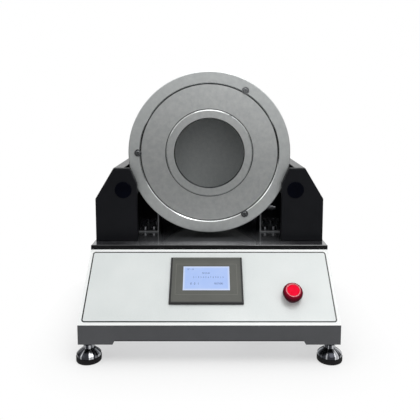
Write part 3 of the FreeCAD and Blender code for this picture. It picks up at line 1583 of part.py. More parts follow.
def lid_plate():
    """The round lid, stepped round its opening for the clear pane."""
    turned_on_y(
        "lid_plate",
        "0",
        "drum_z",
        [
            [
                ("window_r", "lid_back"),
                ("lid_r - lid_bevel", "lid_back"),
                ("lid_r", "lid_back - lid_bevel"),
                ("lid_r", "lid_front + lid_bevel"),
                ("lid_r - lid_bevel", "lid_front"),
                ("pane_r + fit", "lid_front"),
                ("pane_r + fit", "lid_front + pane_thick"),
                ("window_r", "lid_front + pane_thick"),
            ]
        ],
    )


def lid_ring():
    """The raised ring round the opening, which holds the pane in the lid."""
    turned_on_y(
        "lid_ring",
        "0",
        "drum_z",
        [
            [
                ("window_r", "lid_front"),
                ("ring_r", "lid_front"),
                ("ring_r", "lid_front - ring_proud + ring_bevel"),
                ("ring_r - ring_bevel", "lid_front - ring_proud"),
                ("window_r + ring_inner_bevel", "lid_front - ring_proud"),
                ("window_r", "lid_front - ring_proud + ring_inner_bevel"),
            ]
        ],
    )


def lid_window():
    """The clear round pane that closes the lid's opening."""
    turned_on_y(
        "lid_window",
        "0",
        "drum_z",
        [
            [
                ("0", "lid_front"),
                ("pane_r", "lid_front"),
                ("pane_r", "lid_front + pane_thick"),
                ("0", "lid_front + pane_thick"),
            ]
        ],
    )


def lid_seal():
    """The flat rubber ring behind the lid."""
    turned_on_y(
        "lid_seal",
        "0",
        "drum_z",
        [
            [
                ("seat_r + seal_in", "lid_back"),
                ("lid_r - seal_out", "lid_back"),
                ("lid_r - seal_out", "seal_back"),
                ("seat_r + seal_in", "seal_back"),
            ]
        ],
    )


def lid_screw(number_of_screw):
    """One of the lid's socket screws with the washer fixed under its head."""
    x, z = screw_places()[number_of_screw - 1]
    body = turned_on_y(
        f"lid_screw_{number_of_screw}",
        x,
        f"drum_z + {z}" if z[0] != "-" else f"drum_z - {z[1:]}",
        [
            [
                ("0", "lid_front + lid_shank_long"),
                ("lid_shank_r - lid_screw_bevel", "lid_front + lid_shank_long"),
                ("lid_shank_r", "lid_front + lid_shank_long - lid_screw_bevel"),
                ("lid_shank_r", "lid_front"),
                ("washer_r", "lid_front"),
                ("washer_r", "lid_front - washer_thick"),
                ("lid_head_r", "lid_front - washer_thick"),
                ("lid_head_r", "lid_front - washer_thick - lid_head_high + lid_screw_bevel"),
                ("lid_head_r - lid_screw_bevel", "lid_front - washer_thick - lid_head_high"),
                ("0", "lid_front - washer_thick - lid_head_high"),
            ]
        ],
    )
    socket = new_sketch(body, "XZ", "lid_front - washer_thick - lid_head_high")
    hexagon(socket, "0", "0", "lid_socket_half")
    pocket(body, socket, "lid_socket_deep")


# Control panel
def centred_box(drawing, across, up, half_wide, half_high, corner=None):
    """A rectangle round a middle point, with rounded corners if a radius is given."""
    sides = (
        f"{across} - ({half_wide})",
        f"{across} + {half_wide}",
        f"{up} - ({half_high})",
        f"{up} + {half_high}",
    )
    if corner is None:
        return box_outline(drawing, *sides)
    return round_box(drawing, *sides, corner)


def panel_overlay():
    """The thin printed foil on the sloping panel."""
    body = new_body("panel_overlay")
    foil = new_sketch(body, "PANEL")
    round_box(
        foil,
        *both_ways("half_width - overlay_margin"),
        *both_ways("overlay_half_long"),
        "overlay_round",
    )
    centred_box(foil, "hmi_x", "hmi_up", "hmi_case_wide - fit", "hmi_case_high - fit")
    circle(foil, "stop_x", "stop_up", "stop_thread_r")
    pad(body, foil, "overlay_thick")


def hmi_bezel():
    """The bezel of the touch panel, sunk inside its rim and again for the screen."""
    body = new_body("hmi_bezel")
    block = new_sketch(body, "PANEL", "overlay_thick")
    centred_box(block, "hmi_x", "hmi_up", "hmi_half_wide", "hmi_half_high", "hmi_round")
    pad(body, block, "hmi_proud")
    front = "overlay_thick + hmi_proud"
    height = number(front)
    soften(
        body, "Fillet", "hmi_edge", lambda e, m, t: abs(height_over_panel(m) - height) < 0.01
    )
    face = new_sketch(body, "PANEL", front)
    centred_box(
        face, "hmi_x", "hmi_up", "hmi_half_wide - hmi_rim", "hmi_half_high - hmi_rim", "hmi_round"
    )
    pocket(body, face, "hmi_face_sunk")
    seat = new_sketch(body, "PANEL", front + " - hmi_face_sunk")
    centred_box(seat, "hmi_x", "screen_up", "screen_half_wide", "screen_half_high")
    pocket(body, seat, "screen_sunk")


def height_over_panel(point):
    """How far a point stands out from the sloping panel."""
    run = number("panel_run / panel_long")
    rise = number("panel_rise / panel_long")
    return (point.z - number("panel_mid_z")) * run - (point.y - number("panel_mid_y")) * rise


def hmi_screen():
    """The glass of the touch panel's screen."""
    body = new_body("hmi_screen")
    glass = new_sketch(
        body, "PANEL", "overlay_thick + hmi_proud - hmi_face_sunk - screen_sunk"
    )
    centred_box(
        glass,
        "hmi_x",
        "screen_up",
        "screen_half_wide - screen_gap",
        "screen_half_high - screen_gap",
    )
    pad(body, glass, "screen_thick")


def hmi_body():
    """The touch panel's case behind the panel, with its connector block and ribs."""
    body = new_body("hmi_body")
    case = new_sketch(body, "PANEL", "overlay_thick")
    centred_box(
        case,
        "hmi_x",
        "hmi_up",
        "hmi_case_wide - fit * 2",
        "hmi_case_high - fit * 2",
        "hmi_case_round",
    )
    pad(body, case, "hmi_case_deep", back=True)
    sockets = new_sketch(body, "PANEL", "overlay_thick - hmi_case_deep")
    centred_box(
        sockets, "hmi_x", "hmi_up - hmi_socket_down", "hmi_socket_half", "hmi_socket_high"
    )
    pad(body, sockets, "hmi_socket_deep", back=True)
    ribs = new_sketch(body, "PANEL", "overlay_thick - hmi_case_deep")
    for column in range(8):
        left = f"hmi_rib_first + {column} * hmi_rib_step"
        box_outline(ribs, left, left + " + hmi_rib_wide", "hmi_rib_low", "hmi_rib_high")
    pad(body, ribs, "hmi_rib_deep", back=True)


def stop_body(name):
    """An empty body standing on the panel where the emergency stop sits."""
    return new_body(name, "stop_x", "stop_y", "stop_z", tilt="panel_angle")


def estop_collar():
    """The threaded collar of the emergency stop, through the panel."""
    body = stop_body("estop_collar")
    turn(
        body,
        outline(
            new_sketch(body, "XZ"),
            [
                ("stop_stem_r + running_fit", "-stop_thread_low"),
                ("stop_thread_r", "-stop_thread_low"),
                ("stop_thread_r", "overlay_thick"),
                ("stop_collar_r", "overlay_thick"),
                ("stop_collar_r", "stop_collar_top - stop_collar_bevel"),
                ("stop_collar_r - stop_collar_bevel", "stop_collar_top"),
                ("stop_stem_r + running_fit", "stop_collar_top"),
            ],
        ),
    )


def estop_stem():
    """The sliding stem between the mushroom head and the contacts."""
    body = stop_body("estop_stem")
    turn(
        body,
        outline(
            new_sketch(body, "XZ"),
            [
                ("0", "-stop_stem_low"),
                ("stop_stem_r", "-stop_stem_low"),
                ("stop_stem_r", "stop_stem_top"),
                ("0", "stop_stem_top"),
            ],
        ),
    )


def estop_head():
    """The mushroom head, pressed to stop and turned to release, with a ridge round its dish."""
    body = stop_body("estop_head")
    turn(
        body,
        outline(
            new_sketch(body, "XZ"),
            [
                ("0", "stop_stem_top + running_fit"),
                ("stop_stem_r + running_fit", "stop_stem_top + running_fit"),
                ("stop_stem_r + running_fit", "stop_head_low"),
                ("stop_head_r - stop_foot_bevel", "stop_head_low"),
                ("stop_head_r", "stop_head_low + stop_foot_bevel"),
                ("stop_head_r", "stop_side_top", "stop_flank_r", 1),
                ("stop_ridge_r", "stop_ridge_low", "stop_ridge_round", 1),
                ("stop_ridge_r - stop_ridge_wide", "stop_ridge_low"),
                ("stop_dish_r", "stop_dish_high"),
                ("0", "stop_dish_high"),
            ],
        ),
    )


def estop_block():
    """The nut under the panel and the contact block below it."""
    body = stop_body("estop_block")
    nut = new_sketch(body, "XY", "-sheet - stop_nut_high")
    hexagon(nut, "0", "0", "stop_nut_r")
    circle(nut, "0", "0", "stop_thread_r")
    pad(body, nut, "stop_nut_high")
    block = new_sketch(body, "XY", "-stop_thread_low")
    centred_box(block, "0", "0", "stop_block_half", "stop_block_half + stop_block_over")
    pad(body, block, "stop_block_deep", back=True)
    steps = new_sketch(body, "XY", "-stop_thread_low - stop_block_deep + stop_step_high")
    for y in both_ways("stop_block_half"):
        centred_box(steps, "0", y, "stop_block_half * 2", "stop_step_half")
    pocket(body, steps, "stop_step_high")


# Levelling feet
def foot_place(side, end):
    """Where a foot stands, from the sign of its side and of its end."""
    return ("foot_x" if side > 0 else "-foot_x", "foot_y" if end > 0 else "-foot_y")


def foot_sole(name, side, end):
    """The rubber sole of a levelling foot."""
    body = new_body(name, *foot_place(side, end))
    turn(
        body,
        outline(
            new_sketch(body, "XZ"),
            [
                ("0", "0"),
                ("sole_r - sole_round", "0", "sole_round", 1),
                ("sole_r", "sole_round"),
                ("sole_r", "sole_high"),
                ("bell_r", "sole_high"),
                ("bell_r", "sole_high - bell_sunk"),
                ("0", "sole_high - bell_sunk"),
            ],
        ),
    )


def foot_bell(name, side, end):
    """The chromed bell of a levelling foot with its hexagon and threaded stud."""
    body = new_body(name, *foot_place(side, end))
    turn(
        body,
        outline(
            new_sketch(body, "XZ"),
            [
                ("0", "sole_high - bell_sunk"),
                ("bell_r", "sole_high - bell_sunk"),
                ("bell_r", "sole_high + bell_edge", "bell_round", 1),
                ("bell_neck_r", "sole_high + bell_high"),
                ("0", "sole_high + bell_high"),
            ],
        ),
    )
    nut = new_sketch(body, "XY", "sole_high + bell_high")
    hexagon(nut, "0", "0", "nut_half")
    pad(body, nut, "nut_high")
    stud = new_sketch(body, "XY", "sole_high + bell_high + nut_high")
    circle(stud, "0", "0", "stud_r")
    pad(body, stud, "foot_top - sole_high - bell_high - nut_high")
    top = number("foot_top")
    soften(body, "Chamfer", "stud_bevel", lambda e, m, t: abs(m.z - top) < 0.01)


def foot_lock_nuts():
    """The lock nuts under the lip, one on each stud."""
    body = new_body("foot_lock_nuts")
    nuts = new_sketch(body, "XY", "lip_low - lock_high")
    for x, y in FOOT_PLACES:
        hexagon(nuts, x, y, "nut_half")
        circle(nuts, x, y, "stud_r + running_fit")
    pad(body, nuts, "lock_high")


# Electrical pieces
def power_inlet():
    """The power inlet with three pins and the frame of its rocker switch."""
    body = new_body("power_inlet", "inlet_x", "0", "inlet_z")
    flange = new_sketch(body, "XZ", "half_depth + inlet_proud")
    centred_box(flange, "0", "0", "inlet_half_wide", "inlet_half_high", "inlet_round")
    pad(body, flange, "inlet_proud")
    case = new_sketch(body, "XZ", "half_depth")
    centred_box(case, "0", "0", "inlet_case_wide", "inlet_case_high")
    pad(body, case, "inlet_deep")
    mouth = new_sketch(body, "XZ", "half_depth - inlet_deep + inlet_wall")
    outline(
        mouth,
        [
            ("-mouth_half", "mouth_low"),
            ("mouth_half", "mouth_low"),
            ("mouth_half", "mouth_high - mouth_slope"),
            ("mouth_half - mouth_slope", "mouth_high"),
            ("mouth_slope - mouth_half", "mouth_high"),
            ("-mouth_half", "mouth_high - mouth_slope"),
        ],
    )
    pocket(body, mouth, "inlet_deep")
    seat = new_sketch(body, "XZ", "half_depth - rocker_seat")
    centred_box(
        seat, "0", "rocker_up", "rocker_half_wide + fit", "rocker_half_high + rocker_gap"
    )
    pocket(body, seat, "inlet_deep")
    pivot = new_sketch(body, "YZ", "rocker_half_wide + rocker_pin_long + fit")
    circle(pivot, "rocker_y", "rocker_up", "rocker_pin_r + running_fit")
    pocket(body, pivot, "(rocker_half_wide + rocker_pin_long + fit) * 2")
    pins = new_sketch(body, "XZ", "half_depth - pin_sunk")
    for x, z in (("-pin_side", "pin_low"), ("pin_side", "pin_low"), ("0", "pin_high")):
        centred_box(pins, x, z, "pin_half", "pin_tall")
    pad(body, pins, "inlet_deep - inlet_wall - pin_sunk")


def power_rocker():
    """The rocker of the power switch, pressed down at its lower end."""
    body = new_body("power_rocker", "inlet_x", "rocker_y", "inlet_z + rocker_up")
    side = new_sketch(body, "YZ", "-rocker_half_wide")
    outline(
        side,
        [
            ("rocker_back", "-rocker_back_half"),
            ("rocker_in_low", "-rocker_half_high"),
            ("rocker_out_low", "-rocker_half_high"),
            ("rocker_out_mid", "0"),
            ("rocker_out_high", "rocker_half_high"),
            ("rocker_in_high", "rocker_half_high"),
            ("rocker_back", "rocker_back_half"),
        ],
    )
    pad(body, side, "rocker_half_wide * 2")
    pins = new_sketch(body, "YZ", "-rocker_half_wide - rocker_pin_long")
    circle(pins, "0", "0", "rocker_pin_r")
    pad(body, pins, "(rocker_half_wide + rocker_pin_long) * 2")


def power_supply():
    """The slotted case of the power supply on the floor, with its terminal step."""
    body = new_body("power_supply", "supply_left", "supply_front", "floor_z")
    case = new_sketch(body, "XY")
    box_outline(case, "0", "supply_wide", "0", "supply_long")
    pad(body, case, "supply_high")
    step = new_sketch(body, "XY", "supply_high")
    box_outline(step, "0", "supply_wide", "0", "supply_step")
    pocket(body, step, "supply_high / 2")
    vents = new_sketch(body, "XY", "supply_high")
    for row in range(9):
        low = f"supply_slot_front + {row} * supply_slot_step"
        high = low + " + supply_slot_wide"
        box_outline(vents, "supply_slot_in", "supply_wide - supply_slot_in", low, high)
    pocket(body, vents, "supply_slot_deep")
    posts = new_sketch(body, "XY", "supply_high / 2")
    for column in range(7):
        left = f"post_first + {column} * post_step"
        box_outline(posts, left, left + " + post_wide", "post_front", "post_front + post_long")
    pad(body, posts, "post_high")


def motor_drive():
    """The motor's speed drive on the floor, ribbed on one side to shed heat."""
    body = new_body("motor_drive", "drive_left", "drive_front", "floor_z")
    case = new_sketch(body, "XY")
    box_outline(case, "0", "drive_wide - fin_long", "0", "drive_long")
    pad(body, case, "drive_high")
    fins = new_sketch(body, "XY")
    for row in range(8):
        low = f"fin_first + {row} * fin_step"
        box_outline(fins, "drive_wide - fin_long", "drive_wide", low, low + " + fin_wide")
    pad(body, fins, "drive_high - fin_below")
    mouth = new_sketch(body, "XZ")
    box_outline(
        mouth,
        "drive_mouth_in",
        "drive_wide - fin_long - drive_mouth_in",
        "drive_mouth_low",
        "drive_mouth_high",
    )
    pocket(body, mouth, "drive_mouth_deep")


# Assembly
def build_all():
    """Every sub-part of the machine, from the feet up."""
    for side, across in ((-1, "left"), (1, "right")):
        for end, along in ((-1, "front"), (1, "back")):
            foot_sole(f"foot_{along}_{across}_sole", side, end)
            foot_bell(f"foot_{along}_{across}_bell", side, end)
        tower_plate(f"tower_plate_{across}", side)
        tower_cover(f"tower_cover_{across}", side)
        angle_bracket(f"angle_bracket_{across}", side)
        x = both_ways("roller_x")[(side + 1) // 2]
        end = "rear_plate_front + bearing_wide" if side < 0 else "pulley_back + shaft_proud"
        roller_shaft(f"roller_shaft_{across}", x, end)
        roller_hubs(f"roller_hubs_{across}", x)
        roller_tyres(f"roller_tyres_{across}", x)
    foot_lock_nuts()
    skirt_frame()
    bottom_cover()
    housing_shell()
    rear_cover()
    deck_plate()
    deck_bolts()
    cover_screws()
    rear_bearing_plate()
    bearings()
    bearing_caps()
    speed_sensor()
    roller_pulley()
    motor_pulley()
    drive_belt()
    gear_motor()
    motor_bracket()
    belt_guard()
    drum_shell()
    front_flange()
    rear_flange()
    lid_plate()
    lid_ring()
    lid_window()
    lid_seal()
    for count in (1, 2, 3):
        lid_screw(count)
    panel_overlay()
    hmi_bezel()
    hmi_screen()
    hmi_body()
    estop_collar()
    estop_stem()
    estop_head()
    estop_block()
    power_inlet()
    power_rocker()
    power_supply()
    motor_drive()


def faults():
    """Every object with an error, and every body without a sound shape."""
    doc.recompute()
    found = []
    for thing in doc.Objects:
        for word in ("Invalid", "Error"):
            if word in thing.State:
                found.append(f"{thing.Label}: {word}")
    for body in bodies():
        shape = body.Shape
        if shape.isNull() or not shape.isValid() or not shape.Solids:
            found.append(f"{body.Label}: no sound shape")
    return found


def bodies():
    """The sub-parts of the document."""
    return [thing for thing in doc.Objects if thing.TypeId == "PartDesign::Body"]


def write_parts():
    """One file for each sub-part, named after it."""
    os.makedirs("parts", exist_ok=True)
    for body in bodies():
        body.Shape.exportStep(f"parts/{body.Label}.step")


build_all()
problems = faults()
if problems:
    raise RuntimeError("; ".join(problems))
write_parts()
print(len(bodies()), "sub-parts written")
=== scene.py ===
import math

import bpy
from mathutils import Matrix, Vector


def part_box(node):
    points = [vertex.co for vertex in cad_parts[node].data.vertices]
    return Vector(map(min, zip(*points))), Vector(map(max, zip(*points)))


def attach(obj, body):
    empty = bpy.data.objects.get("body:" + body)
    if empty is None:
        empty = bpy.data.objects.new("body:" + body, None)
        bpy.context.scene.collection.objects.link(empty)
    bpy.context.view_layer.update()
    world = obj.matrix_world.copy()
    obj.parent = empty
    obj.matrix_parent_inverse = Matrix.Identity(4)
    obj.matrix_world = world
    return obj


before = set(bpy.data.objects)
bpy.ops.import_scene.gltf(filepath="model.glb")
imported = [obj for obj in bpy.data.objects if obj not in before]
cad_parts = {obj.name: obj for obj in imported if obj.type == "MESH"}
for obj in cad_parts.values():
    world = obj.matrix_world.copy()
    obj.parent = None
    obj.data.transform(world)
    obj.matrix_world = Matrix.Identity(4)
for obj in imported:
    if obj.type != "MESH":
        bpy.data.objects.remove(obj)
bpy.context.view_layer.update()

MM = 0.001

# Control panel
# Its own axes are X to the right, Y up the slope and Z out of the panel.
PANEL_RUN = 128 * MM
PANEL_RISE = 114 * MM
PANEL_LONG = math.hypot(PANEL_RUN, PANEL_RISE)
PANEL_SLOPE = math.atan2(PANEL_RISE, PANEL_RUN)
PANEL_MIDDLE = Vector((0, -176 * MM, 138 * MM))
PANEL_HALF_WIDE = 256 * MM
FOIL_INSET = 6 * MM
FOIL_CORNER = 6 * MM
FOIL_LINE = -1.4 * MM
FOIL_LINE_HALF = 1.3 * MM

# Touch panel, in the panel's own axes
BEZEL_MIDDLE = (-6 * MM, 10 * MM)
BEZEL_HALF = (75 * MM, 53 * MM)
BEZEL_FACE = 5.0 * MM
# The film is drawn 2 mm higher and reaches the bezel's top edge, so the black frame shows only at
# left, right and bottom; across the top edge, film colour is painted where the edge looks paler
# in light.
FILM_MIDDLE = (BEZEL_MIDDLE[0], BEZEL_MIDDLE[1] + 2 * MM)
FILM_HALF = (BEZEL_HALF[0] - 4 * MM, BEZEL_HALF[1] - 2 * MM)
FILM_CORNER = 1 * MM
FILM_LINE_BOX = (63 * MM, 35 * MM)
FILM_LINE_HALF = 0.5 * MM
SCREEN_MIDDLE = (-6 * MM, 14 * MM)
SCREEN_HALF = (48 * MM, 27.5 * MM)
SCREEN_CORNER = 0.5 * MM
SCREEN_RIM = (-4.5 * MM, -1.5 * MM)
SCREEN_FACE = 4.7 * MM

# Stop head, in the panel's own axes
STOP_MIDDLE = (167 * MM, -24 * MM)
STOP_RIDGE = 15 * MM
RIDGE_WIDE = 2.8 * MM
# Width over which the flank's painted shade deepens
FLANK_WIDE = 5 * MM

# Deck plate, and where the painted sheen and highlight before the drum fade out
DECK_TOP = 205 * MM
SHEEN_FRONT = (-95 * MM, -75 * MM)
SHEEN_SIDE = (10 * MM, 190 * MM)

# Raised lower edge of the skirt between the feet, and the line of painted shade along it
NOTCH_HALF = 184 * MM
NOTCH_LINE = 49.9 * MM
NOTCH_LINE_HALF = 1.1 * MM

# Drum, and rings on its front, each with its radius and half its width
DRUM_AXIS = Vector((0, 0, 400 * MM))
SEAT_CHAMFER = (154.3 * MM, 1.6 * MM)
RING_CHAMFER = (95.2 * MM, 1.2 * MM)
# The lid's joint, the ring's foot and the hole's edge carry dark lines of painted shade.
LID_JOINT = (152.5 * MM, 0.9 * MM)
RING_JOINT = (97.2 * MM, 0.9 * MM)
HOLE_EDGE = (77.6 * MM, 0.9 * MM)
CUT_DEPTH = -55 * MM
BRIGHT_CUT = 0.16

# Front end of the brackets beside the towers, painted pale as a highlight
BRACKET_FRONT = 2 * MM

# How deep the colour of a face reaches into the piece
DECK_SKIN = 0.2 * MM
BEZEL_SKIN = 0.3 * MM
BRACKET_SKIN = 0.4 * MM

# Rocker switch at the back
ROCKER_AXIS = Vector((-160 * MM, 237 * MM, 153 * MM))
ROCKER_HALF = 9 * MM

# Printed and lit figures
INK_THICK = 0.04 * MM

# Stage, in metres
WHITE = (1, 1, 1, 1)
FLOOR_RADIUS = 2.4
SHADOW_HALF = (0.28, 0.25)
SHADOW_CORNER = 0.1
SHADOW_FADE = (-0.04, 0.12)
SHADOW_SHARE = 0.52
CARD_LEAN = 0.33
CARD_TOP = 1.25
LAMP_AIM = Vector((0, 0, 0.3))

# A Mix node set to colours: input 0 is its share, and inputs 6 and 7 are its two colours.
COLOUR_MIX = {"out": 2, "data_type": "RGBA"}

# Most of a noise lies between these two values.
NOISE_LOW = 0.3
NOISE_HIGH = 0.7
NOISE_ROUGH = 0.55

# Faced and blasted aluminium, in millimetres
# Real tool marks, pits and clouds are finer than a millimetre. These are coarser, to show.
TOOL_MARKS = 5.03
BLAST_PITS = 1.6
BLAST_CLOUDS = 9
BLAST_DEEP = 0.006
TOOL_SHARE = 0.35

# A wave texture turns by 20 radians in one unit of its scale.
WAVE_TURN = 2 * math.pi / 20


def linear(code):
    """The linear colour of an sRGB hex code."""
    channels = [int(code[i : i + 2], 16) / 255 for i in (1, 3, 5)]
    return [c / 12.92 if c <= 0.04045 else ((c + 0.055) / 1.055) ** 2.4 for c in channels] + [1]


def per_metre(spacing):
    """The scale of a pattern whose marks are that many millimetres apart."""
    return 1000 / spacing


def add(tree, kind, inputs=(), out=0, **attributes):
    """A node, by its one output in use. An input that is a socket is linked, any other is set."""
    made = tree.nodes.new(kind)
    for name, value in attributes.items():
        setattr(made, name, value)
    for socket, value in dict(inputs).items():
        if isinstance(value, bpy.types.NodeSocket):
            tree.links.new(value, made.inputs[socket])
        else:
            made.inputs[socket].default_value = value
    return made.outputs[out] if made.outputs else None


# Camera, stage and light
def photo_camera():
    """Straight from the front, a little above the drum's axis, looking slightly down."""
    lens = bpy.data.cameras.new("photo_camera")
    lens.sensor_width = 36
    lens.lens = 43.74
    lens.shift_y = -0.1215
    camera = bpy.data.objects.new("photo_camera", lens)
    camera.location = (0.0015, -1.1903, 0.5055)
    camera.rotation_euler = (math.radians(90 - 6), 0, 0)
    bpy.context.collection.objects.link(camera)
    bpy.context.scene.camera = camera


def seen_directly(tree):
    """1 for rays that come from the camera, a mirror or glass, and 0 for the others."""
    rays = ("Is Camera Ray", "Is Glossy Ray", "Is Transmission Ray")
    camera, mirror, glass = [add(tree, "ShaderNodeLightPath", out=ray) for ray in rays]
    either = add(tree, "ShaderNodeMath", {0: mirror, 1: glass}, operation="MAXIMUM")
    return add(tree, "ShaderNodeMath", {0: camera, 1: either}, operation="MAXIMUM")


def white_room():
    """Plain even light all round, and a white background where it is looked at."""
    world = bpy.data.worlds.new("white_room")
    world.use_nodes = True
    tree = world.node_tree
    tree.nodes.clear()
    light = add(tree, "ShaderNodeBackground", {"Color": linear("#F7F8F8"), "Strength": 0.55})
    white = add(tree, "ShaderNodeBackground", {"Color": WHITE, "Strength": 1.0})
    shown = add(tree, "ShaderNodeMixShader", {0: seen_directly(tree), 1: light, 2: white})
    add(tree, "ShaderNodeOutputWorld", {"Surface": shown})
    bpy.context.scene.world = world


def stage_paint(name):
    """An empty material for the stage: its node tree and its object coordinates."""
    paint = bpy.data.materials.new(name)
    paint.use_nodes = True
    tree = paint.node_tree
    tree.nodes.clear()
    return paint, tree, add(tree, "ShaderNodeTexCoord", out="Object")


def white_floor():
    """A round white table top that shows a light shadow under the object."""
    clear_selection()
    bpy.ops.mesh.primitive_circle_add(vertices=96, radius=FLOOR_RADIUS, fill_type="NGON")
    floor = bpy.context.object
    floor.name = "white_floor"
    paper, tree, place = stage_paint("white_paper")
    sheet = add(tree, "ShaderNodeBsdfDiffuse", {"Color": linear("#FAFAFA")})
    glow = add(tree, "ShaderNodeEmission", {"Color": WHITE, "Strength": 1.0})
    away = rounded_distance(tree, place, (0, 0), SHADOW_HALF, SHADOW_CORNER)
    fade = add(
        tree,
        "ShaderNodeMapRange",
        {
            "Value": away,
            "From Min": SHADOW_FADE[0],
            "From Max": SHADOW_FADE[1],
            "To Min": SHADOW_SHARE,
            "To Max": 1.0,
        },
    )
    share = add(tree, "ShaderNodeMath", {0: seen_directly(tree), 1: fade}, operation="MULTIPLY")
    shown = add(tree, "ShaderNodeMixShader", {0: share, 1: sheet, 2: glow})
    add(tree, "ShaderNodeOutputMaterial", {"Surface": shown})
    floor.data.materials.append(paper)


def grey_card(name, middle, turn, size, low, high):
    """A card that only mirrors and glass see, which pales upwards and to the right."""
    clear_selection()
    bpy.ops.mesh.primitive_plane_add(size=1)
    card = bpy.context.object
    card.name = name
    card.scale = (*size, 1)
    card.rotation_euler = turn
    card.location = middle
    settle(card)
    paint, tree, place = stage_paint(name)
    across = add(tree, "ShaderNodeSeparateXYZ", {0: place}, "X")
    height = add(tree, "ShaderNodeSeparateXYZ", {0: place}, "Z")
    rise = add(
        tree, "ShaderNodeMath", {0: across, 1: CARD_LEAN, 2: height}, operation="MULTIPLY_ADD"
    )
    shade = add(
        tree,
        "ShaderNodeMapRange",
        {"Value": rise, "From Min": 0.0, "From Max": CARD_TOP, "To Min": low, "To Max": high},
    )
    glow = add(tree, "ShaderNodeEmission", {"Color": WHITE, "Strength": shade})
    add(tree, "ShaderNodeOutputMaterial", {"Surface": glow})
    card.data.materials.append(paint)
    for sight in ("camera", "diffuse", "shadow", "volume_scatter"):
        setattr(card, "visible_" + sight, False)


def dim_sides():
    """Dim cards on all four sides of the object, and on the table towards each."""
    flat = (0, 0, 0)
    upright = (math.radians(90), 0, 0)
    sideways = (math.radians(90), 0, math.radians(90))
    # Name, middle, turn, size, and the glow at the foot and at the top
    cards = (
        ("front_card", (0, -2.6, 1.2), upright, (5.0, 2.4), 0.13, 0.95),
        ("rear_card", (0, 2.6, 0.28), upright, (5.0, 0.55), 0.12, 0.95),
        ("front_card_foot", (0, -1.65, 0.002), flat, (5.0, 1.9), 0.02, 0.08),
        ("rear_card_foot", (0, 1.95, 0.002), flat, (5.0, 1.3), 0.04, 0.2),
        ("left_card", (-2.6, -0.6, 0.7), sideways, (3.6, 1.4), 0.04, 0.2),
        ("left_card_foot", (-1.6, 0.3, 0.002), flat, (1.9, 1.9), 0.04, 0.2),
        ("right_card", (2.6, -0.6, 0.7), sideways, (3.6, 1.4), 0.04, 0.2),
        ("right_card_foot", (1.6, 0.3, 0.002), flat, (1.9, 1.9), 0.04, 0.2),
    )
    for card in cards:
        grey_card(*card)


def soft_box(name, place, size, power):
    """A square lamp with a soft edge."""
    lamp = bpy.data.lights.new(name, "AREA")
    lamp.shape = "SQUARE"
    lamp.size = size
    lamp.energy = power
    holder = bpy.data.objects.new(name, lamp)
    holder.location = place
    holder.rotation_euler = (LAMP_AIM - Vector(place)).to_track_quat("-Z", "Y").to_euler()
    bpy.context.collection.objects.link(holder)


def studio_light():
    """One large lamp over the front right, one overhead and a weak one at the left."""
    # Name, place, width and watts
    soft_box("key_light", (0.55, -0.95, 1.75), 1.1, 12.5)
    soft_box("top_light", (0, 0.15, 1.9), 1.2, 6.5)
    soft_box("fill_light", (-1.5, -0.8, 1.0), 1.2, 3.5)


# Modelling
def clear_selection():
    """Nothing is selected, so that an operator acts only on what is added next."""
    if bpy.context.object and bpy.context.object.mode != "OBJECT":
        bpy.ops.object.mode_set(mode="OBJECT")
    bpy.ops.object.select_all(action="DESELECT")


def settle(piece):
    """Moves the place of an object into its mesh, so that it sits at the origin."""
    clear_selection()
    bpy.context.view_layer.objects.active = piece
    piece.select_set(True)
    bpy.ops.object.transform_apply(location=True, rotation=True, scale=True)


def on_panel(across, up, out):
    """The place of a point given in the control panel's own axes."""
    turn = Matrix.Rotation(PANEL_SLOPE, 4, "X")
    return PANEL_MIDDLE + turn @ Vector((across, up, out))


def figure(name, words, place, turn, high, ink, body):
    """Plain figures, a hair thick, turned to lie on a face."""
    clear_selection()
    bpy.ops.object.text_add()
    text = bpy.context.object
    text.data.body = words
    text.data.size = high
    text.data.align_x = "CENTER"
    text.data.align_y = "CENTER"
    text.data.resolution_u = 3
    text.data.extrude = INK_THICK / 2
    bpy.ops.object.convert(target="MESH")
    piece = bpy.context.object
    piece.name = name
    piece.location = place
    piece.rotation_euler = turn
    settle(piece)
    piece.data.materials.append(ink)
    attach(piece, body)


def screen_figures():
    """The figures that a running test shows: a programme, a time, counts and a speed."""
    ink = screen_ink()
    # Name, figures, then millimetres to the right, up and high
    rows = (
        ("screen_programme", "07 - 25", -33, 20.5, 4.6),
        ("screen_time", "00:25:00", -1, 11.5, 4.8),
        ("screen_count", "0  1  2  3  4  5  6  7  8  9  0  1  2", 4, 2, 4.8),
        ("screen_done", "0  0  1", -24, -12.5, 7.0),
        ("screen_speed", "003500", 25, -12.5, 6.0),
    )
    for name, words, across, up, high in rows:
        place = on_panel(
            SCREEN_MIDDLE[0] + across * MM,
            SCREEN_MIDDLE[1] + up * MM,
            SCREEN_FACE + INK_THICK / 2,
        )
        figure(name, words, place, (PANEL_SLOPE, 0, 0), high * MM, ink, "base")


def rocker_marks():
    """The white I on the raised end of the rocker and the O on its pressed end."""
    ink = print_white()
    # Name, mark, its height in millimetres, and how far out the face is at its two ends
    marks = (
        ("rocker_on", "I", 4.5, 4.0, 5.6),
        ("rocker_off", "O", -4.5, 3.4, 4.0),
    )
    for name, words, up, near, far in marks:
        lean = math.atan2((far - near) * MM, ROCKER_HALF)
        face = Vector((0, math.cos(lean), -math.sin(lean)))
        out = (near + far) / 2
        place = ROCKER_AXIS + Vector((0, out, up)) * MM + face * INK_THICK / 2
        turn = (math.radians(90) - lean, 0, math.radians(180))
        figure(name, words, place, turn, 5 * MM, ink, "rocker")


# Patterns that several finishes share
def panel_place(tree, place):
    """Coordinates in the control panel's own axes, in metres."""
    moved = add(tree, "ShaderNodeMapping", {"Vector": place, "Location": -PANEL_MIDDLE})
    return add(tree, "ShaderNodeMapping", {"Vector": moved, "Rotation": (-PANEL_SLOPE, 0, 0)})


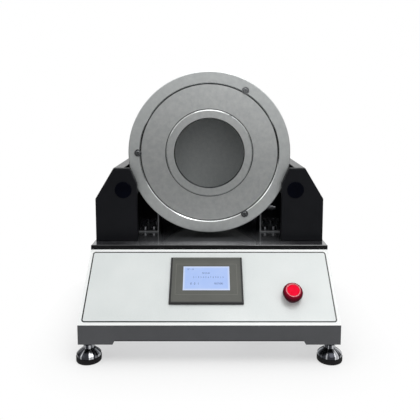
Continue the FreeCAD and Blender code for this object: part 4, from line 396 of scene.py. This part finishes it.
def rounded_distance(tree, flat, middle, half, corner):
    """How far a point lies outside a rectangle with round corners, negative inside."""
    from_middle = {0: flat, 1: (*middle, 0)}
    centred = add(tree, "ShaderNodeVectorMath", from_middle, operation="SUBTRACT")
    size = add(tree, "ShaderNodeVectorMath", {0: centred}, operation="ABSOLUTE")
    core = {0: size, 1: (half[0] - corner, half[1] - corner, 1.0)}
    reach = add(tree, "ShaderNodeVectorMath", core, operation="SUBTRACT")
    outside = add(tree, "ShaderNodeVectorMath", {0: reach, 1: (0, 0, 0)}, operation="MAXIMUM")
    far = add(tree, "ShaderNodeVectorMath", {0: outside}, "Value", operation="LENGTH")
    wide = add(tree, "ShaderNodeSeparateXYZ", {0: reach}, "X")
    high = add(tree, "ShaderNodeSeparateXYZ", {0: reach}, "Y")
    inner = add(tree, "ShaderNodeMath", {0: wide, 1: high}, operation="MAXIMUM")
    inner = add(tree, "ShaderNodeMath", {0: inner, 1: 0.0}, operation="MINIMUM")
    whole = add(tree, "ShaderNodeMath", {0: far, 1: inner}, operation="ADD")
    return add(tree, "ShaderNodeMath", {0: whole, 1: corner}, operation="SUBTRACT")


def ring_marks(tree, radius, front, *rings):
    """1 in front on any of the rings, each given by its radius and half its width."""
    marked = 0.0
    for ring, half in rings:
        near = add(tree, "ShaderNodeMath", {0: radius, 1: ring, 2: half}, operation="COMPARE")
        marked = add(tree, "ShaderNodeMath", {0: near, 1: marked}, operation="ADD")
    return add(tree, "ShaderNodeMath", {0: marked, 1: front}, operation="MULTIPLY")


def clouds(tree, place, spacing, dark, light, detail=2.0):
    """A colour that drifts between two shades, in clouds that many millimetres apart."""
    noise = {"Scale": per_metre(spacing), "Detail": detail, "Roughness": NOISE_ROUGH}
    drift = add(tree, "ShaderNodeTexNoise", {"Vector": place, **noise})
    share = add(
        tree,
        "ShaderNodeMapRange",
        {"Value": drift, "From Min": NOISE_LOW, "From Max": NOISE_HIGH, "To Min": 0, "To Max": 1},
    )
    shades = {0: share, 6: linear(dark), 7: linear(light)}
    return add(tree, "ShaderNodeMix", shades, **COLOUR_MIX)


def patchy_gloss(tree, shader, place, spacing, low, high, detail=2.0):
    """A roughness that drifts from low to high, in patches that many millimetres apart."""
    noise = {"Scale": per_metre(spacing), "Detail": detail, "Roughness": NOISE_ROUGH}
    drift = add(tree, "ShaderNodeTexNoise", {"Vector": place, **noise})
    rough = add(
        tree,
        "ShaderNodeMapRange",
        {
            "Value": drift,
            "From Min": NOISE_LOW,
            "From Max": NOISE_HIGH,
            "To Min": low,
            "To Max": high,
        },
    )
    tree.links.new(rough, shader.inputs["Roughness"])


def relief(tree, shader, place, spacing, depth, detail=2.0):
    """Lumps that many millimetres apart, and at most that many millimetres high."""
    noise = {"Scale": per_metre(spacing), "Detail": detail, "Roughness": NOISE_ROUGH}
    lumps = add(tree, "ShaderNodeTexNoise", {"Vector": place, **noise})
    bump = {"Height": lumps, "Strength": 1.0, "Distance": depth * MM}
    tree.links.new(add(tree, "ShaderNodeBump", bump), shader.inputs["Normal"])


# Finishes
def new_finish(name, settings=()):
    """A material with settings of its own: its node tree, its shader and object coordinates."""
    finish = bpy.data.materials.new(name)
    finish.use_nodes = True
    tree = finish.node_tree
    tree.nodes.clear()
    shader = add(tree, "ShaderNodeBsdfPrincipled", settings).node
    add(tree, "ShaderNodeOutputMaterial", {"Surface": shader.outputs[0]})
    place = add(tree, "ShaderNodeTexCoord", out="Object")
    return finish, tree, shader, place


def powder_coat(name, dark, light, rough, lump, depth, shine=0.5):
    """Polyester powder baked on sheet steel: fine orange peel, and a shade that drifts."""
    finish, tree, shader, place = new_finish(name, {"Specular IOR Level": shine})
    tree.links.new(clouds(tree, place, 60, dark, light), shader.inputs["Base Color"])
    patchy_gloss(tree, shader, place, lump, rough - 0.05, rough + 0.07)
    relief(tree, shader, place, lump, depth)
    return finish


def skirt_coat():
    """Grey polyester powder, with a dark line painted along the notch's edge as the shade of the
    skirt's folded lip.
    """
    finish, tree, shader, place = new_finish("grey_powder_coat", {"Specular IOR Level": 0.4})
    across = add(tree, "ShaderNodeSeparateXYZ", {0: place}, "X")
    height = add(tree, "ShaderNodeSeparateXYZ", {0: place}, "Z")
    line = {0: height, 1: NOTCH_LINE, 2: NOTCH_LINE_HALF}
    low = add(tree, "ShaderNodeMath", line, operation="COMPARE")
    notch = {0: across, 1: 0.0, 2: NOTCH_HALF}
    inside = add(tree, "ShaderNodeMath", notch, operation="COMPARE")
    # Painted shade: a dark line along the raised edge of the notch.
    shade_line = add(tree, "ShaderNodeMath", {0: low, 1: inside}, operation="MULTIPLY")
    powder = clouds(tree, place, 60, "#424346", "#47484B")
    coat = add(tree, "ShaderNodeMix", {0: shade_line, 6: powder, 7: linear("#121214")}, **COLOUR_MIX)
    tree.links.new(coat, shader.inputs["Base Color"])
    patchy_gloss(tree, shader, place, 1.2, 0.37, 0.49)
    relief(tree, shader, place, 1.2, 0.03)
    return finish


def stove_enamel():
    """Black stove enamel: a wet-looking mirror; its top is painted paler as a sheen of overhead
    light, with a painted highlight before the drum.
    """
    gloss = {"Coat Weight": 1.0, "Coat Roughness": 0.06, "Specular IOR Level": 0.3}
    finish, tree, shader, place = new_finish("black_stove_enamel", gloss)
    across = add(tree, "ShaderNodeSeparateXYZ", {0: place}, "X")
    depth = add(tree, "ShaderNodeSeparateXYZ", {0: place}, "Y")
    height = add(tree, "ShaderNodeSeparateXYZ", {0: place}, "Z")
    over = {0: height, 1: DECK_TOP - DECK_SKIN}
    top = add(tree, "ShaderNodeMath", over, operation="GREATER_THAN")
    away = add(tree, "ShaderNodeMath", {0: across}, operation="ABSOLUTE")
    thinning = {"To Min": 1, "To Max": 0}
    side = {"Value": away, "From Min": SHEEN_SIDE[0], "From Max": SHEEN_SIDE[1]}
    middle = add(tree, "ShaderNodeMapRange", {**side, **thinning})
    back = {"Value": depth, "From Min": SHEEN_FRONT[0], "From Max": SHEEN_FRONT[1]}
    before = add(tree, "ShaderNodeMapRange", {**back, **thinning})
    highlight_patch = add(tree, "ShaderNodeMath", {0: middle, 1: before}, operation="MULTIPLY")
    enamel = clouds(tree, place, 25, "#0B0C0D", "#101112", 4)
    # Painted sheen: the top is paler than the front edge, and paler still before the drum, where
    # a painted highlight lies.
    film = clouds(tree, place, 25, "#2E2F31", "#3A3B3D", 4)
    sheen = add(tree, "ShaderNodeMix", {0: middle, 6: film, 7: linear("#56575A")}, **COLOUR_MIX)
    sheen = add(tree, "ShaderNodeMix", {0: highlight_patch, 6: sheen, 7: linear("#A0A1A3")}, **COLOUR_MIX)
    deck = add(tree, "ShaderNodeMix", {0: top, 6: enamel, 7: sheen}, **COLOUR_MIX)
    tree.links.new(deck, shader.inputs["Base Color"])
    patchy_gloss(tree, shader, place, 25, 0.16, 0.24, 4)
    relief(tree, shader, place, 4, 0.01)
    return finish


def turned_metal(name, dark, light, rough):
    """Aluminium faced on a lathe and blasted; in front, bright chamfers, and dark lines of
    painted shade in the joints and round the hole.
    """
    finish, tree, shader, place = new_finish(name, {"Metallic": 1.0})
    centred = add(tree, "ShaderNodeMapping", {"Vector": place, "Location": -DRUM_AXIS})
    marks = {"Distortion": 0.6, "Detail": 2.0, "Detail Scale": 1.5}
    rings = add(
        tree,
        "ShaderNodeTexWave",
        {"Vector": centred, "Scale": WAVE_TURN * per_metre(TOOL_MARKS), **marks},
        "Fac",
        wave_type="RINGS",
        rings_direction="Y",
    )
    pits = {"Scale": per_metre(BLAST_PITS), "Detail": 3, "Roughness": NOISE_ROUGH}
    blast = add(tree, "ShaderNodeTexNoise", {"Vector": place, **pits})
    both = {0: rings, 1: TOOL_SHARE, 2: blast}
    mottled = add(tree, "ShaderNodeMath", both, operation="MULTIPLY_ADD")
    away = add(tree, "ShaderNodeVectorMath", {0: centred, 1: (1, 0, 1)}, operation="MULTIPLY")
    radius = add(tree, "ShaderNodeVectorMath", {0: away}, "Value", operation="LENGTH")
    depth = add(tree, "ShaderNodeSeparateXYZ", {0: place}, "Y")
    front = add(tree, "ShaderNodeMath", {0: depth, 1: CUT_DEPTH}, operation="LESS_THAN")
    bright = ring_marks(tree, radius, front, SEAT_CHAMFER, RING_CHAMFER)
    # Painted shade: dark lines in the lid's joint, at the ring's foot and round the hole.
    shade_lines = ring_marks(tree, radius, front, LID_JOINT, RING_JOINT, HOLE_EDGE)
    metal = clouds(tree, place, BLAST_CLOUDS, dark, light, 5)
    skin = add(tree, "ShaderNodeMix", {0: shade_lines, 6: metal, 7: linear("#3C3D3F")}, **COLOUR_MIX)
    tree.links.new(skin, shader.inputs["Base Color"])
    spread = {"From Min": 0.3, "From Max": 1.1, "To Min": rough - 0.04, "To Max": rough + 0.08}
    dull = add(tree, "ShaderNodeMapRange", {"Value": mottled, **spread})
    cut = {0: bright, 1: BRIGHT_CUT - rough, 2: dull}
    dull = add(tree, "ShaderNodeMath", cut, operation="MULTIPLY_ADD")
    tree.links.new(dull, shader.inputs["Roughness"])
    bump = {"Height": mottled, "Strength": 1.0, "Distance": BLAST_DEEP * MM}
    tree.links.new(add(tree, "ShaderNodeBump", bump), shader.inputs["Normal"])
    return finish


def cloudy_metal(name, dark, light, rough, lump):
    """Plated, ground or cast metal: soft patches, duller where they are paler."""
    finish, tree, shader, place = new_finish(name, {"Metallic": 1.0})
    tree.links.new(clouds(tree, place, lump, dark, light, 3), shader.inputs["Base Color"])
    patchy_gloss(tree, shader, place, lump, rough, rough + 0.12, 3)
    relief(tree, shader, place, lump, 0.008, 3)
    return finish


def cut_bracket():
    """Black oxide on laser-cut steel: dark faces, and a pale grey painted on the front end as a
    highlight.
    """
    finish, tree, shader, place = new_finish("cut_bracket")
    depth = add(tree, "ShaderNodeSeparateXYZ", {0: place}, "Y")
    before = {0: depth, 1: BRACKET_FRONT + BRACKET_SKIN}
    cut = add(tree, "ShaderNodeMath", before, operation="LESS_THAN")
    oxide = clouds(tree, place, 5, "#16171A", "#202226", 3)
    # Painted highlight: the front end is pale grey, where light catches the edge.
    steel = add(tree, "ShaderNodeMix", {0: cut, 6: oxide, 7: linear("#9B9DA0")}, **COLOUR_MIX)
    tree.links.new(steel, shader.inputs["Base Color"])
    patchy_gloss(tree, shader, place, 5, 0.32, 0.46, 3)
    relief(tree, shader, place, 5, 0.01, 3)
    return finish


def black_chrome(name, middle):
    """Black chrome on a turned bell: a dark mirror, with pale streaks painted down its flank as
    reflections.
    """
    finish, tree, shader, place = new_finish(name, {"Metallic": 1.0})
    axis = (-middle[0], -middle[1], 0)
    centred = add(tree, "ShaderNodeMapping", {"Vector": place, "Location": axis})
    flat = add(tree, "ShaderNodeVectorMath", {0: centred, 1: (1, 1, 0)}, operation="MULTIPLY")
    around = add(tree, "ShaderNodeVectorMath", {0: flat}, operation="NORMALIZE")
    # The pale streaks are painted reflections, some millimetres wide.
    streaks = {"Vector": around, "Scale": 2.6, "Detail": 2.0}
    streak_noise = add(tree, "ShaderNodeTexNoise", streaks)
    pale = {"Value": streak_noise, "From Min": 0.5, "From Max": 0.62, "To Min": 0, "To Max": 1}
    painted_streak = add(tree, "ShaderNodeMapRange", pale)
    shades = {0: painted_streak, 6: linear("#35363B"), 7: linear("#E4E6EA")}
    chrome = add(tree, "ShaderNodeMix", shades, **COLOUR_MIX)
    tree.links.new(chrome, shader.inputs["Base Color"])
    patchy_gloss(tree, shader, place, 3, 0.2, 0.3)
    relief(tree, shader, place, 3, 0.004)
    return finish


def soft_rubber(name, dark, light):
    """Nitrile rubber: matt black with a dry bloom."""
    finish, tree, shader, place = new_finish(name, {"Specular IOR Level": 0.2})
    tree.links.new(clouds(tree, place, 8, dark, light, 4), shader.inputs["Base Color"])
    patchy_gloss(tree, shader, place, 8, 0.62, 0.8, 4)
    # The skin is drawn coarser than the real one, so that it shows.
    relief(tree, shader, place, 0.8, 0.03)
    return finish


def moulded_plastic(name, dark, light, rough, shine=0.5):
    """Moulded ABS or polyamide with a spark-eroded grain."""
    finish, tree, shader, place = new_finish(name, {"Specular IOR Level": shine})
    tree.links.new(clouds(tree, place, 30, dark, light), shader.inputs["Base Color"])
    # The grain is drawn coarser than the real one, so that it shows.
    patchy_gloss(tree, shader, place, 0.9, rough - 0.04, rough + 0.06)
    relief(tree, shader, place, 0.9, 0.02)
    return finish


def stop_red():
    """Red polycarbonate: a bright satin dish and a polished ridge round it; the ridge's darker
    red and the maroon flank, darkening outwards, are painted shade.
    """
    gloss = {"Specular IOR Level": 0.05, "Coat Roughness": 0.06, "Coat IOR": 2.0}
    finish, tree, shader, place = new_finish("stop_red", gloss)
    flat = panel_place(tree, place)
    outer = (STOP_RIDGE, STOP_RIDGE)
    beyond = rounded_distance(tree, flat, STOP_MIDDLE, outer, STOP_RIDGE)
    near = {0: beyond, 1: -RIDGE_WIDE / 2, 2: RIDGE_WIDE / 2}
    ridge = add(tree, "ShaderNodeMath", near, operation="COMPARE")
    tree.links.new(ridge, shader.inputs["Coat Weight"])
    dish = clouds(tree, place, 9, "#F3002A", "#FB063C")
    # Painted shade: the ridge is a darker red than the dish.
    top = add(tree, "ShaderNodeMix", {0: ridge, 6: dish, 7: linear("#C0052C")}, **COLOUR_MIX)
    # Painted shade: the flank darkens from maroon to near black outwards.
    down = {"Value": beyond, "From Min": 0, "From Max": FLANK_WIDE, "To Min": 0, "To Max": 1}
    flank_shade = add(tree, "ShaderNodeMapRange", down)
    shades = {0: flank_shade, 6: linear("#8C0728"), 7: linear("#3A0210")}
    shaded_flank = add(tree, "ShaderNodeMix", shades, **COLOUR_MIX)
    off = add(tree, "ShaderNodeMath", {0: beyond, 1: 0.0}, operation="GREATER_THAN")
    head = add(tree, "ShaderNodeMix", {0: off, 6: top, 7: shaded_flank}, **COLOUR_MIX)
    tree.links.new(head, shader.inputs["Base Color"])
    patchy_gloss(tree, shader, place, 2.5, 0.4, 0.52)
    relief(tree, shader, place, 2.5, 0.01)
    return finish


def clear_acrylic():
    """Clear cast acrylic: nearly unseen, with a faint grey and fine wiping marks."""
    clear = {"Base Color": linear("#3A3D40"), "Alpha": 0.10, "IOR": 1.49}
    finish, tree, shader, place = new_finish("clear_acrylic", clear)
    patchy_gloss(tree, shader, place, 14, 0.03, 0.1, 4)
    return finish


def printed_foil():
    """Polyester foil with a fine grain, printed with one dark line along its edge."""
    finish, tree, shader, place = new_finish("printed_foil")
    flat = panel_place(tree, place)
    half = (PANEL_HALF_WIDE - FOIL_INSET, PANEL_LONG / 2 - FOIL_INSET)
    edge = rounded_distance(tree, flat, (0, 0), half, FOIL_CORNER)
    near = {0: edge, 1: FOIL_LINE, 2: FOIL_LINE_HALF}
    line = add(tree, "ShaderNodeMath", near, operation="COMPARE")
    ground = clouds(tree, place, 90, "#D8DDDC", "#DFE3E2")
    print_on = {0: line, 6: ground, 7: linear("#0D0E0F")}
    foil = add(tree, "ShaderNodeMix", print_on, **COLOUR_MIX)
    tree.links.new(foil, shader.inputs["Base Color"])
    # The grain is drawn coarser than the real one, so that it shows.
    patchy_gloss(tree, shader, place, 0.8, 0.24, 0.32)
    relief(tree, shader, place, 0.8, 0.01)
    return finish


def bezel_film():
    """Black ABS frame; a warm grey film lies on its face, with one thin paler line in it."""
    finish, tree, shader, place = new_finish("bezel_film", {"Specular IOR Level": 0.35})
    flat = panel_place(tree, place)
    out = add(tree, "ShaderNodeSeparateXYZ", {0: flat}, "Z")
    over = {0: out, 1: BEZEL_FACE - BEZEL_SKIN}
    face = add(tree, "ShaderNodeMath", over, operation="GREATER_THAN")
    film_edge = rounded_distance(tree, flat, FILM_MIDDLE, FILM_HALF, FILM_CORNER)
    inside = add(tree, "ShaderNodeMath", {0: film_edge, 1: 0.0}, operation="LESS_THAN")
    covered = add(tree, "ShaderNodeMath", {0: face, 1: inside}, operation="MULTIPLY")
    line_edge = rounded_distance(tree, flat, FILM_MIDDLE, FILM_LINE_BOX, FILM_CORNER)
    near = {0: line_edge, 1: 0.0, 2: FILM_LINE_HALF}
    line = add(tree, "ShaderNodeMath", near, operation="COMPARE")
    film = clouds(tree, place, 40, "#4F504B", "#555651")
    film = add(tree, "ShaderNodeMix", {0: line, 6: film, 7: linear("#65665F")}, **COLOUR_MIX)
    bezel = {0: covered, 6: linear("#08080A"), 7: film}
    tree.links.new(add(tree, "ShaderNodeMix", bezel, **COLOUR_MIX), shader.inputs["Base Color"])
    # The grain is drawn coarser than the real one, so that it shows.
    patchy_gloss(tree, shader, place, 0.7, 0.4, 0.52)
    relief(tree, shader, place, 0.7, 0.01)
    return finish


def lit_screen():
    """A backlit display behind glass: pale blue, brighter along its edge."""
    glass = {"Base Color": linear("#141B28"), "Roughness": 0.12, "Emission Strength": 0.9}
    finish, tree, shader, place = new_finish("lit_screen", glass)
    flat = panel_place(tree, place)
    edge = rounded_distance(tree, flat, SCREEN_MIDDLE, SCREEN_HALF, SCREEN_CORNER)
    near = {"Value": edge, "From Min": SCREEN_RIM[0], "From Max": SCREEN_RIM[1]}
    rim = add(tree, "ShaderNodeMapRange", near)
    blue = clouds(tree, place, 30, "#A9C4FA", "#B3CBFB")
    glow = add(tree, "ShaderNodeMix", {0: rim, 6: blue, 7: linear("#CFDDFA")}, **COLOUR_MIX)
    tree.links.new(glow, shader.inputs["Emission Color"])
    return finish


def screen_ink():
    """Dark pixels of the display, coarser than real ones so that they show."""
    finish, tree, shader, place = new_finish("screen_ink", {"Roughness": 0.3})
    tree.links.new(clouds(tree, place, 0.6, "#2A3A66", "#344676"), shader.inputs["Base Color"])
    return finish


def print_white():
    """White pad print on the rocker, worn a little thin in places."""
    finish, tree, shader, place = new_finish("print_white", {"Roughness": 0.5})
    worn = clouds(tree, place, 1.5, "#D2D3D2", "#EDEEED", 4)
    tree.links.new(worn, shader.inputs["Base Color"])
    return finish


# Which piece has which finish
def dress(finish, *nodes):
    """Gives the CAD nodes their finish."""
    for node in nodes:
        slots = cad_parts[node].data.materials
        slots.clear()
        slots.append(finish)


def dress_base():
    """Skirt, housing, deck, floor, feet and the parts in the base."""
    white = powder_coat("white_powder_coat", "#F1F3F2", "#F6F8F7", 0.36, 1.4, 0.02)
    dress(white, "housing_shell", "rear_cover")
    dress(skirt_coat(), "skirt_frame")
    dress(stove_enamel(), "deck_plate")
    zinc = cloudy_metal("zinc_plated_steel", "#B9BCC0", "#D0D3D6", 0.3, 6)
    dress(zinc, "cover_screws", "motor_bracket", "foot_lock_nuts", "bottom_cover", "power_supply")
    sole = soft_rubber("sole_rubber", "#08080A", "#0F0F11")
    for end in ("front", "back"):
        for side in ("left", "right"):
            foot = f"foot_{end}_{side}"
            low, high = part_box(foot + "_bell")
            middle = [(a + b) / 2 for a, b in zip(low, high)]
            dress(black_chrome(foot + "_black_chrome", middle), foot + "_bell")
            dress(sole, foot + "_sole")


def dress_towers():
    """Towers with their covers and caps, the belt guard, the brackets and the deck's bolts."""
    plate = powder_coat("black_powder_coat", "#0F1014", "#131418", 0.45, 1.2, 0.03, 0.14)
    dress(plate, "tower_plate_left", "tower_plate_right", "rear_bearing_plate")
    folded = powder_coat("black_leather_coat", "#0F1014", "#131418", 0.30, 2.6, 0.05, 0.5)
    dress(folded, "tower_cover_left", "tower_cover_right", "belt_guard")
    dress(moulded_plastic("navy_plastic", "#02030A", "#03050F", 0.4, 0.04), "bearing_caps")
    dress(cut_bracket(), "angle_bracket_left", "angle_bracket_right")
    dress(cloudy_metal("nickel_plated_steel", "#8E9094", "#A8AAAE", 0.2, 3), "deck_bolts")


def dress_drum():
    """Drum, flanges, lid, pane and the lid's screws."""
    drum = turned_metal("drum_aluminium", "#C7CACA", "#D1D4D3", 0.44)
    dress(drum, "front_flange", "rear_flange")
    dress(turned_metal("rolled_aluminium", "#DEE1E1", "#EAECEB", 0.5), "drum_shell")
    lid = turned_metal("lid_aluminium", "#CBCECE", "#DADCDB", 0.36)
    dress(lid, "lid_plate", "lid_ring")
    dress(clear_acrylic(), "lid_window")
    steel = cloudy_metal("stainless_steel", "#77797B", "#8E9092", 0.2, 3)
    dress(steel, "lid_screw_1", "lid_screw_2", "lid_screw_3")


def dress_drive():
    """Rollers, shafts, bearings, belt, motor and sensor, and the stop's stem and lid's seal."""
    ground = cloudy_metal("ground_steel", "#A5A7A9", "#BEC0C2", 0.24, 3)
    dress(ground, "bearings", "roller_shaft_left", "roller_shaft_right", "estop_stem")
    dress(cloudy_metal("nickel_plate", "#5A5B5D", "#6C6D6F", 0.3, 2), "speed_sensor")
    cast = cloudy_metal("cast_aluminium", "#7E8184", "#8E9194", 0.5, 2.5)
    dress(cast, "gear_motor", "motor_drive", "roller_pulley", "motor_pulley")
    dress(cast, "roller_hubs_left", "roller_hubs_right")
    rubber = soft_rubber("black_rubber", "#101011", "#1B1B1C")
    dress(rubber, "roller_tyres_left", "roller_tyres_right", "drive_belt", "lid_seal")


def dress_controls():
    """The sloping panel with touch screen and stop, and the inlet at the back."""
    dress(printed_foil(), "panel_overlay")
    dress(bezel_film(), "hmi_bezel")
    dress(lit_screen(), "hmi_screen")
    dress(stop_red(), "estop_head")
    # The collar's maroon tint is a painted reflection of the red head in its chrome.
    dress(cloudy_metal("chrome_painted_red_reflection", "#6A4552", "#7C5563", 0.2, 4), "estop_collar")
    black = moulded_plastic("black_plastic", "#101011", "#161617", 0.45)
    dress(black, "hmi_body", "estop_block", "power_inlet", "power_rocker")


bpy.context.scene.view_settings.view_transform = "Standard"
photo_camera()
white_room()
white_floor()
dim_sides()
studio_light()
dress_base()
dress_towers()
dress_drum()
dress_drive()
dress_controls()
screen_figures()
rocker_marks()
